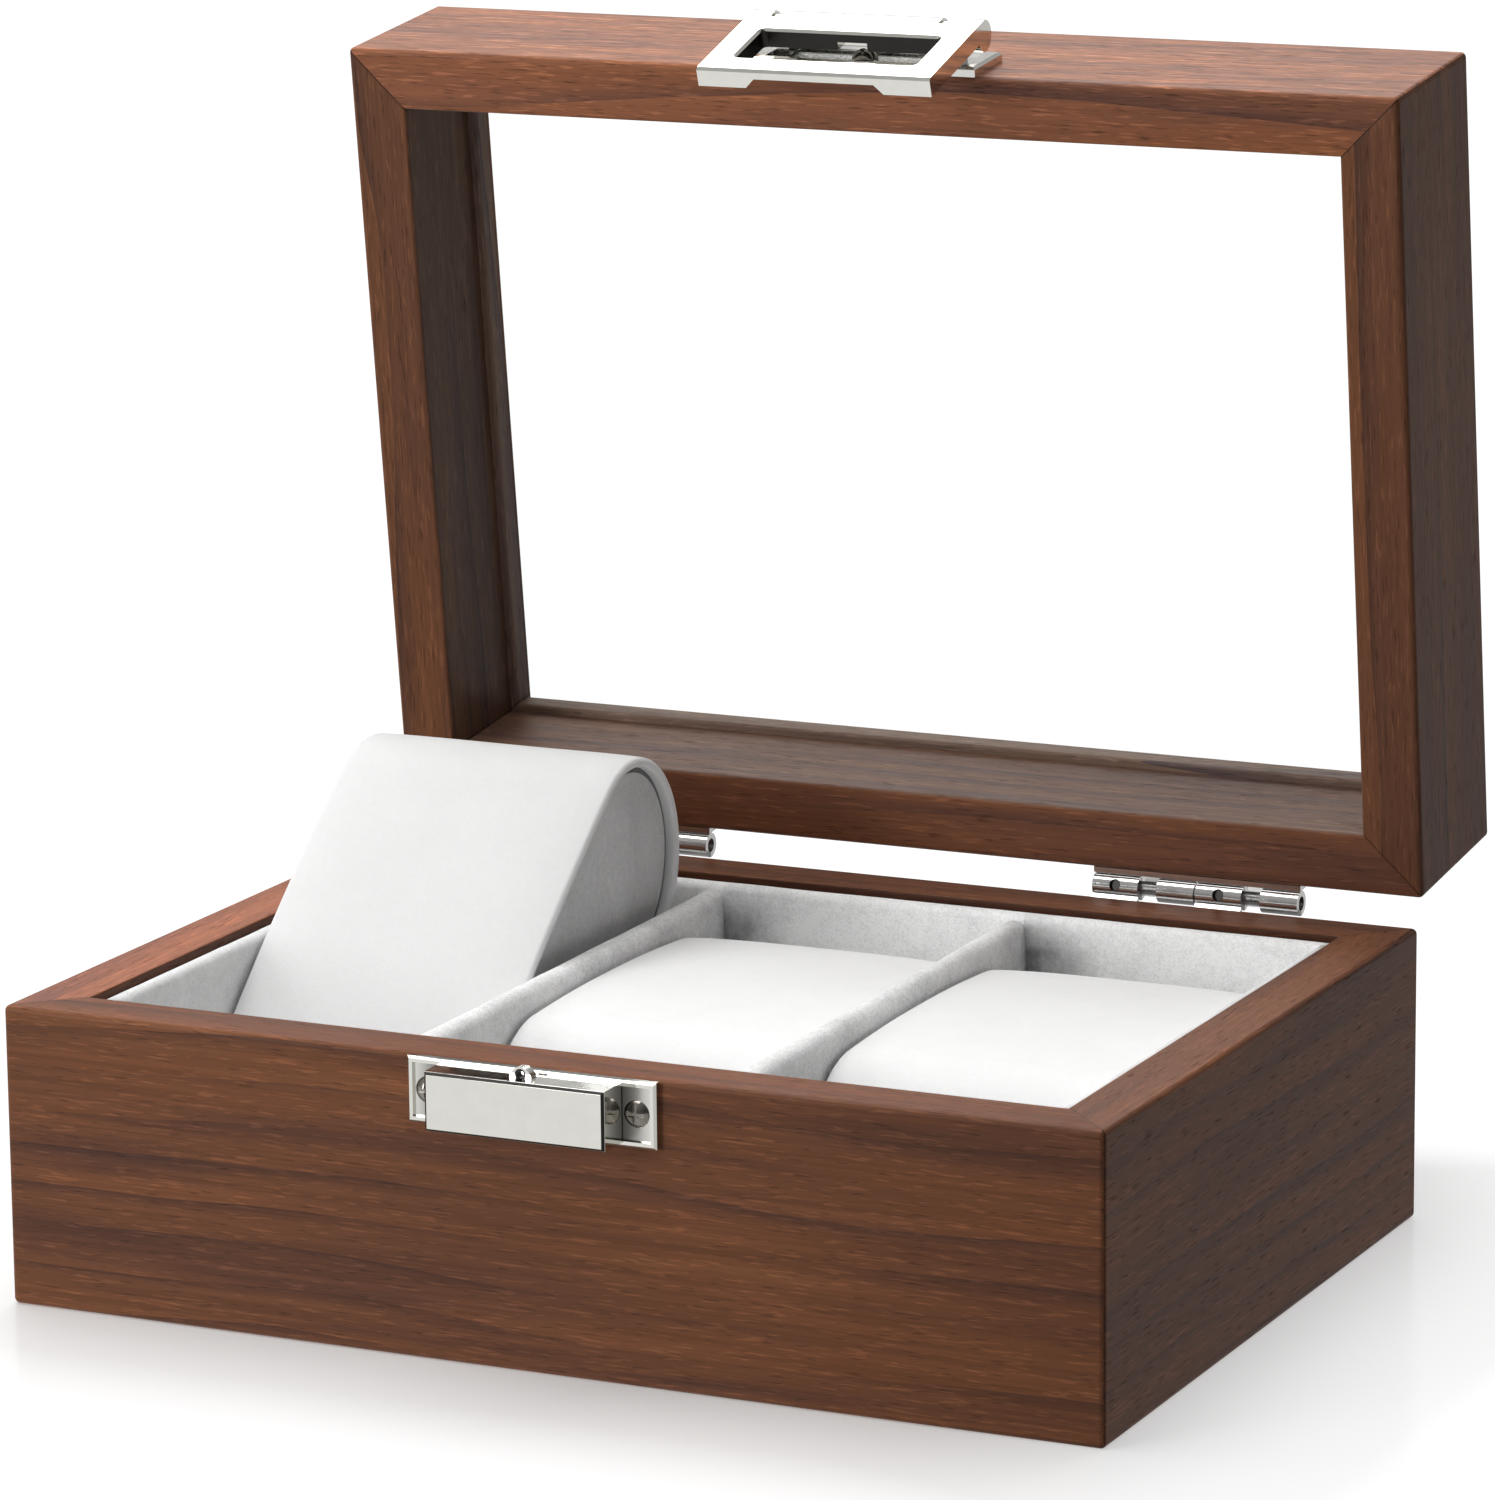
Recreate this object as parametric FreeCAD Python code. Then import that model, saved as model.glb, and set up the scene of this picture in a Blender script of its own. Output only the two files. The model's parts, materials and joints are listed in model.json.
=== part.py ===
import FreeCAD
import Part

import math
import os

from FreeCAD import Placement, Rotation, Vector

# A watch box with a glazed, hinged lid, three velvet compartments, loose pillows and a flip hasp.
# Millimetres. The origin is the centre of the underside, +X to the right, +Y to the back, +Z up.
# The lid and the hasp are modelled closed and then turned to the open pose.

# Case, outside sizes with the lid closed
case_width = 200.0
case_depth = 143.0
base_height = 52.2
lid_height = 34.7
rim_gap = 0.3
wall_thickness = 10.8
edge_radius = 1.0
rim_radius = 0.6
opening_angle = 83.4

# Bottom panel and felt, set in a rabbet of the walls
felt_thickness = 0.8
bottom_thickness = 4.0
rabbet_width = 5.0
rabbet_clearance = 0.2

# Velvet lining, floor pad and dividers
lining_thickness = 3.0
lining_drop = 1.0
floor_pad_thickness = 2.4
divider_thickness = 4.5
divider_drop = 2.2
compartment_count = 3
lining_radius = 1.4
divider_radius = 2.0

# Glass, its groove in the lid rails, and the retaining beads under it
glass_thickness = 2.5
glass_clearance = 0.2
groove_depth = 4.0
lip_height = 4.2
lip_width = 9.6
bead_width = 1.5
bead_height = 4.3
bead_radius = 0.6

# Barrel hinges on the back, each a repeat of base knuckle, stop neck and lid knuckle
hinge_inset = 42.5
hinge_set_back = 3.4
hinge_rise = 1.4
hinge_repeats = 2
base_knuckle_length = 9.0
stop_neck_length = 3.2
lid_knuckle_length = 7.4
knuckle_gap = 0.35
barrel_radius = 2.25
hinge_pin_radius = 1.2
hinge_pin_recess = 1.2
leaf_thickness = 1.0
leaf_height = 11.0
leaf_set_in = 0.5
leaf_screw_spacing = 24.0
dimple_radius = 1.0
dimple_depth = 0.6
dimple_angle = 165.0
lug_start_angle = 100.0
lug_span = 70.0
lug_stop_gap = 0.6

# Clearances of pins and shanks in their holes
fixed_pin_clearance = 0.02
turning_pin_clearance = 0.06
screw_hole_clearance = 0.15

# Screws
screw_shank_radius = 1.2
screw_shank_length = 7.5
screw_tip_length = 2.0
screw_head_radius = 2.3
screw_head_height = 1.1
screw_slot_width = 0.7
screw_slot_reach = 0.7
screw_slot_depth = 0.55

# Keeper casting on the front wall
keeper_width = 45.2
keeper_height = 11.2
keeper_thickness = 1.4
keeper_drop = 0.2
keeper_border = 1.0
keeper_pocket_depth = 0.6
keeper_bevel = 0.4
block_width = 32.6
block_height = 10.0
block_reach = 7.6
block_wall = 1.2
block_bevel = 0.5

# Sprung catch nub in the keeper block
nub_width = 4.0
nub_thickness = 1.8
nub_height = 1.8
nub_reach = 3.9
nub_eye_radius = 0.7
nub_slide_clearance = 0.08
nub_stop_gap = 0.05
flange_margin = 1.0
flange_thickness = 1.2
post_radius = 0.8
post_length = 2.0
spring_radius = 1.5
spring_wire_radius = 0.25
spring_turns = 5
spring_seat_gap = 0.05

# Hasp: mounting plate with ears on the lid, and the swinging frame
hasp_plate_width = 45.2
hasp_plate_height = 12.0
hasp_plate_thickness = 1.8
hasp_plate_drop = 0.2
hasp_plate_bevel = 0.5
hasp_pocket_width = 36.0
hasp_pocket_height = 7.4
hasp_pocket_margin = 1.4
hasp_pocket_depth = 0.8
hasp_screw_height = 4.2
hasp_screw_head_radius = 2.4
hasp_screw_head_height = 2.2
hasp_axis_height = 6.7
hasp_axis_reach = 5.8
hasp_droop = 11.0
hasp_pin_radius = 1.0
hasp_pin_inset = 0.9
hasp_pin_cap = 0.8
ear_spacing = 32.0
ear_thickness = 3.0
ear_radius = 2.3
ear_side_gap = 0.3
ear_stop_gap = 0.05
hasp_width = 44.0
hasp_length = 24.2
hasp_depth = 3.4
hasp_barrel_radius = 2.8
hasp_bar_width = 5.3
hasp_window_width = 34.0
hasp_window_height = 11.7
hasp_window_radius = 1.0
hasp_bevel = 0.5
finger_notch_width = 26.0
finger_notch_depth = 1.7
finger_notch_slope = 1.7
nub_seat_margin = 0.8
nub_seat_depth = 1.5
nub_seat_height = 2.2

# Watch pillows: a velvet band round a foam core, closed by two end panels
pillow_front_gap = 21.2
pillow_back_gap = 4.2
pillow_height = 39.6
pillow_crown = 0.8
pillow_top_radius = 17.5
pillow_side_radius = 20.4
pillow_side_clearance = 0.6
pillow_seat_gap = 0.3
pillow_tilt = 40.4
pillow_lean_gap = 6.7
band_thickness = 1.8
band_radius = 1.2
end_panel_thickness = 2.0
end_panel_recess = 1.6
outline_points = 1000

# Levels and places worked out from the sizes above
front_y = -case_depth / 2
back_y = case_depth / 2
cavity_width = case_width - 2 * wall_thickness
cavity_depth = case_depth - 2 * wall_thickness
lid_rim = base_height + rim_gap
lid_top = lid_rim + lid_height
rabbet_height = felt_thickness + bottom_thickness
floor_level = rabbet_height + floor_pad_thickness
lining_top = base_height - lining_drop
divider_top = base_height - divider_drop
lined_width = cavity_width - 2 * lining_thickness
lined_depth = cavity_depth - 2 * lining_thickness
compartment_width = (lined_width - (compartment_count - 1) * divider_thickness) / compartment_count
compartment_pitch = compartment_width + divider_thickness
pillow_length = lined_depth - pillow_front_gap - pillow_back_gap
pillow_offset = (pillow_front_gap - pillow_back_gap) / 2
groove_top = lid_top - lip_height
glass_low = groove_top - glass_clearance - glass_thickness
hinge_axis = Vector(0, back_y + hinge_set_back, base_height + hinge_rise)
hinge_spacing = case_width - 2 * hinge_inset
hinge_repeat = base_knuckle_length + stop_neck_length + lid_knuckle_length
hinge_length = hinge_repeats * hinge_repeat
keeper_top = base_height - keeper_drop
keeper_low = keeper_top - keeper_height
keeper_screw_x = (block_width / 2 + keeper_width / 2 - keeper_border) / 2
block_low = (keeper_top + keeper_low - block_height) / 2
block_top = block_low + block_height
hasp_plate_low = lid_rim + hasp_plate_drop
hasp_axis = Vector(0, front_y - hasp_axis_reach, lid_rim + hasp_axis_height)

LEFT = Vector(-1, 0, 0)
RIGHT = Vector(1, 0, 0)
FRONT = Vector(0, -1, 0)
BACK = Vector(0, 1, 0)
UP = Vector(0, 0, 1)
MARGIN = 5.0
TOUCH = 1e-4


def block(x_low, x_high, y_low, y_high, z_low, z_high):
    """A rectangular solid between two corners."""
    return Part.makeBox(x_high - x_low, y_high - y_low, z_high - z_low, Vector(x_low, y_low, z_low))


def centred_block(width, depth, z_low, z_high):
    """A rectangular solid about the Z axis."""
    return block(-width / 2, width / 2, -depth / 2, depth / 2, z_low, z_high)


def front_block(width, reach_low, reach_high, z_low, z_high, centre_x=0.0):
    """A solid in front of the front face, between two distances from it."""
    return block(
        centre_x - width / 2, centre_x + width / 2, front_y - reach_high, front_y - reach_low, z_low, z_high
    )


def prism(points, direction):
    """A flat outline drawn out along a direction."""
    return Part.Face(Part.makePolygon(points + points[:1])).extrude(direction)


def rod_along_x(radius, x_low, x_high, centre):
    """A cylinder along X at the Y and Z of a point."""
    return Part.makeCylinder(radius, x_high - x_low, Vector(x_low, centre.y, centre.z), RIGHT)


def rounded(shape, radius, wanted):
    """Round the edges that pass a test."""
    return shape.makeFillet(radius, [edge for edge in shape.Edges if wanted(edge.BoundBox)])


def bevelled(shape, size, wanted):
    """Bevel the edges that pass a test."""
    return shape.makeChamfer(size, [edge for edge in shape.Edges if wanted(edge.BoundBox)])


def level(low, high, value):
    """Whether a span lies on one value."""
    return abs(low - value) < TOUCH and abs(high - value) < TOUCH


def on_front_reach(box, reach):
    """Whether an edge lies at one distance in front of the front face."""
    return level(box.YMin, box.YMax, front_y - reach)


def opened(shape):
    """Turn a closed lid piece to the open pose about the hinge axis."""
    turned = shape.copy()
    turned.rotate(hinge_axis, LEFT, opening_angle)
    return turned


def mitred(ring):
    """Cut a rectangular ring into its four sides along the corner diagonals."""
    half_width = case_width / 2 + MARGIN
    half_depth = case_depth / 2 + MARGIN
    reach = half_depth - MARGIN
    low = ring.BoundBox.ZMin - MARGIN
    height = Vector(0, 0, ring.BoundBox.ZLength + 2 * MARGIN)
    outer = [
        (-half_width, -half_depth),
        (half_width, -half_depth),
        (half_width, half_depth),
        (-half_width, half_depth),
    ]
    inner = [(x - math.copysign(reach, x), y - math.copysign(reach, y)) for x, y in outer]
    sides = {}
    for index, name in enumerate(("front", "right", "back", "left")):
        following = (index + 1) % 4
        corners = [outer[index], outer[following], inner[following], inner[index]]
        wedge = prism([Vector(x, y, low) for x, y in corners], height)
        sides[name] = ring.common(wedge)
    return sides


def case_ring(z_low, z_high):
    """The outside of a case half, with every outer edge eased."""
    return rounded(centred_block(case_width, case_depth, z_low, z_high), edge_radius, lambda box: True)


def ease_inner_rim(ring, rim_level):
    """Ease the inner edge of a rim."""
    limit_x = cavity_width / 2 + TOUCH
    limit_y = cavity_depth / 2 + TOUCH
    return rounded(
        ring,
        rim_radius,
        lambda box: level(box.ZMin, box.ZMax, rim_level) and box.XMax < limit_x and box.YMax < limit_y
        and box.XMin > -limit_x and box.YMin > -limit_y,
    )


def screw(seat, outward, head_radius, head_height):
    """A domed cross-head screw whose head sits on a surface point."""
    dome_radius = (head_radius**2 + head_height**2) / (2 * head_height)
    dome = Part.makeSphere(dome_radius, Vector(0, 0, head_height - dome_radius))
    head = dome.common(Part.makeCylinder(head_radius + MARGIN, head_height + MARGIN))
    shank_end = -screw_shank_length + screw_tip_length
    shank = Part.makeCylinder(screw_shank_radius, -shank_end, Vector(0, 0, shank_end))
    tip_radius = screw_shank_radius / 4
    tip = Part.makeCone(tip_radius, screw_shank_radius, screw_tip_length, Vector(0, 0, -screw_shank_length))
    body = head.fuse([shank, tip]).removeSplitter()
    reach = screw_slot_reach * head_radius
    low = head_height - screw_slot_depth
    for x, y in ((reach, screw_slot_width / 2), (screw_slot_width / 2, reach)):
        body = body.cut(block(-x, x, -y, y, low, head_height + MARGIN))
    body.Placement = Placement(seat, Rotation(UP, outward))
    return body


def screw_hole(seat, outward, clearance):
    """The hole that a screw's shank passes through or bites into."""
    depth = screw_shank_length + screw_tip_length
    radius = screw_shank_radius + clearance
    return Part.makeCylinder(radius, depth + MARGIN, seat + outward * MARGIN, outward * -1)


def drilled(shape, seats, outward, clearance):
    """Cut the holes of a group of screws."""
    for seat in seats:
        shape = shape.cut(screw_hole(seat, outward, clearance))
    return shape


def hinge_centres():
    """The two hinges' places along X."""
    return {"left": -hinge_spacing / 2, "right": hinge_spacing / 2}


def leaf_screw_seats(side):
    """Where the leaf screws' heads sit: side -1 on the base, +1 on the lid."""
    near = leaf_near_edge(side)
    z = near + side * leaf_height / 2
    y = back_y + leaf_thickness
    return [
        Vector(centre + step * leaf_screw_spacing / 2, y, z)
        for centre in hinge_centres().values()
        for step in (-1, 1)
    ]


def leaf_near_edge(side):
    """The leaf edge that faces the barrel."""
    rim = base_height if side < 0 else lid_rim
    return rim + side * leaf_set_in


def keeper_screw_seats():
    """Where the keeper screws' heads sit, on the floor of the plate's pockets."""
    y = front_y - keeper_thickness + keeper_pocket_depth
    z = (keeper_low + keeper_top) / 2
    return [Vector(step * keeper_screw_x, y, z) for step in (-1, 1)]


def hasp_screw_seat():
    """Where the hasp screw's head sits, on the floor of the plate's pocket."""
    return Vector(0, front_y - hasp_plate_thickness + hasp_pocket_depth, hasp_plate_low + hasp_screw_height)


def base_walls():
    """The four base walls, with a rabbet below for the bottom panel and felt."""
    ring = case_ring(0, base_height)
    ring = ring.cut(centred_block(cavity_width, cavity_depth, -MARGIN, base_height + MARGIN))
    rabbet = centred_block(
        cavity_width + 2 * rabbet_width, cavity_depth + 2 * rabbet_width, -MARGIN, rabbet_height
    )
    walls = mitred(ease_inner_rim(ring.cut(rabbet), base_height))
    walls["front"] = drilled(walls["front"], keeper_screw_seats(), FRONT, fixed_pin_clearance)
    walls["back"] = drilled(walls["back"], leaf_screw_seats(-1), BACK, fixed_pin_clearance)
    return {f"base_{side}_wall": wall for side, wall in walls.items()}


def base_bottom():
    """The bottom panel and the felt sheet under it."""
    width = cavity_width + 2 * (rabbet_width - rabbet_clearance)
    depth = cavity_depth + 2 * (rabbet_width - rabbet_clearance)
    return {
        "bottom_panel": centred_block(width, depth, felt_thickness, rabbet_height),
        "bottom_felt": centred_block(width, depth, 0, felt_thickness),
    }


def lining_board(x_low, x_high, y_low, y_high, z_low, z_high, radius):
    """A velvet-covered board with a soft top edge along its length."""
    board = block(x_low, x_high, y_low, y_high, z_low, z_high)
    along_x = x_high - x_low > y_high - y_low
    return rounded(
        board,
        radius,
        lambda box: level(box.ZMin, box.ZMax, z_high) and (box.XLength > box.YLength) == along_x,
    )


def lining():
    """The four lining boards, the floor pad between them and the dividers."""
    x_in = lined_width / 2
    y_in = lined_depth / 2
    x_out = cavity_width / 2
    y_out = cavity_depth / 2
    nodes = {
        "lining_front": lining_board(-x_out, x_out, -y_out, -y_in, rabbet_height, lining_top, lining_radius),
        "lining_back": lining_board(-x_out, x_out, y_in, y_out, rabbet_height, lining_top, lining_radius),
        "lining_left": lining_board(-x_out, -x_in, -y_in, y_in, rabbet_height, lining_top, lining_radius),
        "lining_right": lining_board(x_in, x_out, -y_in, y_in, rabbet_height, lining_top, lining_radius),
        "floor_pad": centred_block(lined_width, lined_depth, rabbet_height, floor_level),
    }
    for index in range(1, compartment_count):
        x_low = -x_in + index * compartment_pitch - divider_thickness
        nodes[f"divider_{index}"] = lining_board(
            x_low, x_low + divider_thickness, -y_in, y_in, floor_level, divider_top, divider_radius
        )
    return nodes


def lid_rails():
    """The four lid rails, grooved for the glass."""
    ring = case_ring(lid_rim, lid_top)
    ring = ring.cut(centred_block(cavity_width, cavity_depth, lid_rim - MARGIN, groove_top))
    groove = centred_block(
        cavity_width + 2 * groove_depth, cavity_depth + 2 * groove_depth, glass_low, groove_top
    )
    light = centred_block(
        case_width - 2 * lip_width, case_depth - 2 * lip_width, groove_top - MARGIN, lid_top + MARGIN
    )
    rails = mitred(ease_inner_rim(ring.cut([groove, light]), lid_rim))
    rails["front"] = drilled(rails["front"], [hasp_screw_seat()], FRONT, fixed_pin_clearance)
    rails["back"] = drilled(rails["back"], leaf_screw_seats(1), BACK, fixed_pin_clearance)
    return {f"lid_{side}_rail": rail for side, rail in rails.items()}


def lid_glass():
    """The pane, lying on the lower face of the groove."""
    width = cavity_width + 2 * (groove_depth - glass_clearance)
    depth = cavity_depth + 2 * (groove_depth - glass_clearance)
    return {"lid_glass": centred_block(width, depth, glass_low, glass_low + glass_thickness)}


def glass_beads():
    """The mitred retaining beads on the lid's inner walls, under the glass."""
    low = glass_low - bead_height
    inner_width = cavity_width - 2 * bead_width
    inner_depth = cavity_depth - 2 * bead_width
    ring = centred_block(cavity_width, cavity_depth, low, glass_low)
    ring = ring.cut(centred_block(inner_width, inner_depth, low - 1, glass_low + 1))
    limit_x = inner_width / 2 + TOUCH
    limit_y = inner_depth / 2 + TOUCH
    ring = rounded(
        ring,
        bead_radius,
        lambda box: level(box.ZMin, box.ZMax, low) and box.XMax < limit_x and box.YMax < limit_y
        and box.XMin > -limit_x and box.YMin > -limit_y,
    )
    return {f"glass_bead_{side}": bead for side, bead in mitred(ring).items()}


def polar(angle, distance):
    """A point about the hinge axis: 0 degrees points to the back, 90 degrees up."""
    turn = math.radians(angle)
    return hinge_axis + Vector(0, distance * math.cos(turn), distance * math.sin(turn))


def stop_lug(x_low, x_high, start_angle):
    """A sector of the barrel, which meets its partner when the lid is open."""
    far = 3 * barrel_radius
    corners = [polar(0, 0)]
    for share in (0, 0.5, 1):
        corners.append(polar(start_angle + share * lug_span, far))
    wedge = prism([Vector(x_low, corner.y, corner.z) for corner in corners], Vector(x_high - x_low, 0, 0))
    return wedge.common(rod_along_x(barrel_radius, x_low, x_high, hinge_axis))


def leaf_web(x_low, x_high, side):
    """The sloping strip from a leaf's edge to the barrel."""
    start = Vector(0, back_y + leaf_thickness / 2, leaf_near_edge(side) + side * leaf_thickness)
    run = (hinge_axis - start).normalize()
    across = Vector(0, -run.z, run.y) * (leaf_thickness / 2)
    corners = [start - across, start + across, hinge_axis + across, hinge_axis - across]
    return prism([Vector(x_low, corner.y, corner.z) for corner in corners], Vector(x_high - x_low, 0, 0))


def hinge_leaf(centre_x, side):
    """One leaf with its knuckles and stop lugs: side -1 on the base, +1 on the lid."""
    start = centre_x - hinge_length / 2
    near = leaf_near_edge(side)
    far = near + side * leaf_height
    leaf = block(start, start + hinge_length, back_y, back_y + leaf_thickness, min(near, far), max(near, far))
    pieces = []
    for index in range(hinge_repeats):
        base_start = start + index * hinge_repeat
        neck = base_start + base_knuckle_length
        lid_start = neck + stop_neck_length
        gap = knuckle_gap / 2
        if side < 0:
            span = (base_start + gap, neck - gap)
            lug = (neck - gap, lid_start - gap, lug_start_angle - opening_angle - lug_stop_gap - lug_span)
        else:
            span = (lid_start + gap, lid_start + lid_knuckle_length - gap)
            lug = (neck + gap, lid_start + gap, lug_start_angle)
        pieces += [rod_along_x(barrel_radius, *span, hinge_axis), leaf_web(*span, side), stop_lug(*lug)]
    leaf = leaf.fuse(pieces).removeSplitter()
    clearance = fixed_pin_clearance if side < 0 else turning_pin_clearance
    end = start + hinge_length
    bore = rod_along_x(hinge_pin_radius + clearance, start - MARGIN, end + MARGIN, hinge_axis)
    leaf = leaf.cut(bore)
    if side < 0:
        for index in range(hinge_repeats):
            x = start + index * hinge_repeat + base_knuckle_length / 2
            leaf = leaf.cut(pin_dimple(x))
    return drilled(leaf, leaf_screw_seats(side), BACK, screw_hole_clearance)


def pin_dimple(x):
    """The staking mark that holds the pin in a base knuckle."""
    inner = polar(dimple_angle, barrel_radius - dimple_depth)
    outward = polar(dimple_angle, 1) - hinge_axis
    return Part.makeCylinder(dimple_radius, MARGIN, Vector(x, inner.y, inner.z), outward)


def hinge_pin(centre_x):
    """A hinge pin, ending a little inside the barrel at both ends."""
    reach = hinge_length / 2 - hinge_pin_recess
    return rod_along_x(hinge_pin_radius, centre_x - reach, centre_x + reach, hinge_axis)


def screw_group(seats, outward, head_radius, head_height):
    """Identical screws as separate solids of one node."""
    return Part.makeCompound([screw(seat, outward, head_radius, head_height) for seat in seats])


def keeper():
    """The keeper casting: a plate with screw pockets, and a block hollow towards the wall."""
    plate = front_block(keeper_width, 0, keeper_thickness, keeper_low, keeper_top)
    plate = bevelled(plate, keeper_bevel, lambda box: on_front_reach(box, keeper_thickness))
    pocket_width = (keeper_width - block_width) / 2 - keeper_border
    pocket_low = keeper_low + keeper_border
    pocket_high = keeper_top - keeper_border
    floor_reach = keeper_thickness - keeper_pocket_depth
    for step in (-1, 1):
        centre = step * keeper_screw_x
        plate = plate.cut(front_block(pocket_width, floor_reach, MARGIN, pocket_low, pocket_high, centre))
    body = front_block(block_width, 0, block_reach, block_low, block_top)
    body = bevelled(body, block_bevel, lambda box: on_front_reach(box, block_reach))
    casting = plate.fuse(body).removeSplitter()
    hollow_width = block_width - 2 * block_wall
    hollow_low = block_low + block_wall
    hollow_top = block_top - block_wall
    hollow = front_block(hollow_width, -MARGIN, block_reach - block_wall, hollow_low, hollow_top)
    casting = casting.cut([hollow, nub_slot()])
    return drilled(casting, keeper_screw_seats(), FRONT, screw_hole_clearance)


def nub_slot():
    """The slot in the block's top that the nub slides in."""
    half = nub_thickness / 2 + nub_slide_clearance
    width = nub_width + 2 * nub_slide_clearance
    low = block_top - block_wall - nub_slide_clearance
    return front_block(width, nub_reach - half, nub_reach + half, low, block_top + MARGIN)


def flange_top():
    """The top of the nub's flange, just under the block's top wall."""
    return block_top - block_wall - nub_stop_gap


def catch_nub():
    """The arched nub with its eye, its flange inside the block and the post of its spring."""
    y_near = front_y - nub_reach + nub_thickness / 2
    radius = nub_width / 2
    crown = block_top + nub_height
    left_spring = Vector(-radius, y_near, crown - radius)
    right_spring = Vector(radius, y_near, crown - radius)
    arch = Part.Arc(right_spring, Vector(0, y_near, crown), left_spring).toShape()
    low = flange_top() - flange_thickness / 2
    left_foot = Vector(-radius, y_near, low)
    right_foot = Vector(radius, y_near, low)
    legs = Part.makePolygon([left_spring, left_foot, right_foot, right_spring])
    tab = Part.Face(Part.Wire([arch] + legs.Edges)).extrude(FRONT * nub_thickness)
    eye_height = (block_top + crown) / 2 - nub_eye_radius / 2
    eye = Part.makeCylinder(nub_eye_radius, 2 * MARGIN, Vector(0, y_near + MARGIN, eye_height), FRONT)
    half = nub_thickness / 2 + flange_margin
    flange_low = flange_top() - flange_thickness
    flange_width = nub_width + 2 * flange_margin
    flange = front_block(flange_width, nub_reach - half, nub_reach + half, flange_low, flange_top())
    post_foot = Vector(0, front_y - nub_reach, flange_low - post_length)
    post = Part.makeCylinder(post_radius, post_length, post_foot)
    return tab.cut(eye).fuse([flange, post]).removeSplitter()


def catch_spring():
    """The coil under the nub's flange, an unbroken tube of quarter-turn arcs."""
    low = block_low + block_wall + spring_seat_gap + spring_wire_radius
    high = flange_top() - flange_thickness - spring_seat_gap - spring_wire_radius
    quarters = 4 * spring_turns

    def on_coil(step):
        turn = step * math.pi / 2
        x = spring_radius * math.cos(turn)
        y = front_y - nub_reach + spring_radius * math.sin(turn)
        return Vector(x, y, low + (high - low) * step / quarters)

    arcs = [Part.Arc(on_coil(n), on_coil(n + 0.5), on_coil(n + 1)).toShape() for n in range(quarters)]
    path = Part.Wire(arcs)
    tangent = arcs[0].tangentAt(arcs[0].FirstParameter)
    section = Part.Wire(Part.makeCircle(spring_wire_radius, on_coil(0), tangent))
    return path.makePipeShell([section], True, False)


def hasp_plate():
    """The hasp's mounting plate: a bordered pocket and two ears for the pivot pin."""
    top = hasp_plate_low + hasp_plate_height
    plate = front_block(hasp_plate_width, 0, hasp_plate_thickness, hasp_plate_low, top)
    plate = bevelled(plate, hasp_plate_bevel, lambda box: on_front_reach(box, hasp_plate_thickness))
    floor_reach = hasp_plate_thickness - hasp_pocket_depth
    pocket_low = hasp_plate_low + hasp_pocket_margin
    pocket = front_block(hasp_pocket_width, floor_reach, MARGIN, pocket_low, pocket_low + hasp_pocket_height)
    plate = plate.cut(pocket)
    ears = []
    for step in (-1, 1):
        centre = step * ear_spacing / 2
        low = hasp_axis.z - ear_radius
        high = hasp_axis.z + ear_radius
        ears.append(front_block(ear_thickness, floor_reach / 2, hasp_axis_reach, low, high, centre))
        ear_low = centre - ear_thickness / 2
        ears.append(rod_along_x(ear_radius, ear_low, ear_low + ear_thickness, hasp_axis))
    plate = plate.fuse(ears).removeSplitter()
    half = hasp_plate_width / 2
    plate = plate.cut(rod_along_x(hasp_pin_radius + fixed_pin_clearance, -half, half, hasp_axis))
    return drilled(plate, [hasp_screw_seat()], FRONT, screw_hole_clearance)


def hasp_frame():
    """The swinging frame: made parallel to the lid's face, then let down to its stop.

    Its bore is open on the left only, where the pin goes in.
    """
    front_reach = hasp_axis_reach + hasp_barrel_radius
    back_reach = front_reach - hasp_depth
    low = hasp_axis.z - hasp_length
    window_low = low + hasp_bar_width
    window_high = window_low + hasp_window_height
    frame = front_block(hasp_width, back_reach, front_reach, low, hasp_axis.z)
    window = front_block(hasp_window_width, 0, front_reach + MARGIN, window_low, window_high)
    frame = frame.cut(rounded(window, hasp_window_radius, lambda box: box.YLength > TOUCH))
    below_axis = hasp_axis.z - TOUCH
    frame = bevelled(
        frame, hasp_bevel, lambda box: on_front_reach(box, front_reach) and box.ZMax < below_axis
    )
    barrel = rod_along_x(hasp_barrel_radius, -hasp_width / 2, hasp_width / 2, hasp_axis)
    frame = frame.fuse(barrel).removeSplitter()
    frame = frame.cut([finger_notch(low, back_reach), nub_seat(window_high, back_reach)])
    frame.rotate(hasp_axis, RIGHT, hasp_droop)
    far = hasp_axis.z + 2 * hasp_barrel_radius
    for step in (-1, 1):
        width = ear_thickness + 2 * ear_side_gap
        near = hasp_axis.z - ear_radius - ear_stop_gap
        frame = frame.cut(front_block(width, 0, 2 * front_reach, near, far, step * ear_spacing / 2))
    bore = hasp_pin_radius + turning_pin_clearance
    return frame.cut(rod_along_x(bore, -hasp_width, hasp_width / 2 - hasp_pin_cap, hasp_axis))


def finger_notch(low, back_reach):
    """The tapered notch in the back of the lower bar, where a finger lifts the hasp."""
    wide = finger_notch_width / 2
    narrow = wide - finger_notch_slope
    y_back = front_y - back_reach
    y_deep = y_back - finger_notch_depth
    corners = [
        Vector(-wide, y_back, low - MARGIN),
        Vector(wide, y_back, low - MARGIN),
        Vector(narrow, y_deep, low - MARGIN),
        Vector(-narrow, y_deep, low - MARGIN),
    ]
    return prism(corners, UP * (hasp_bar_width + 2 * MARGIN))


def nub_seat(window_high, back_reach):
    """The relief behind the window's upper edge that the catch nub springs into."""
    width = nub_width + 2 * nub_seat_margin
    reach = back_reach + nub_seat_depth
    return front_block(width, 0, reach, window_high - MARGIN, window_high + nub_seat_height)


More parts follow.
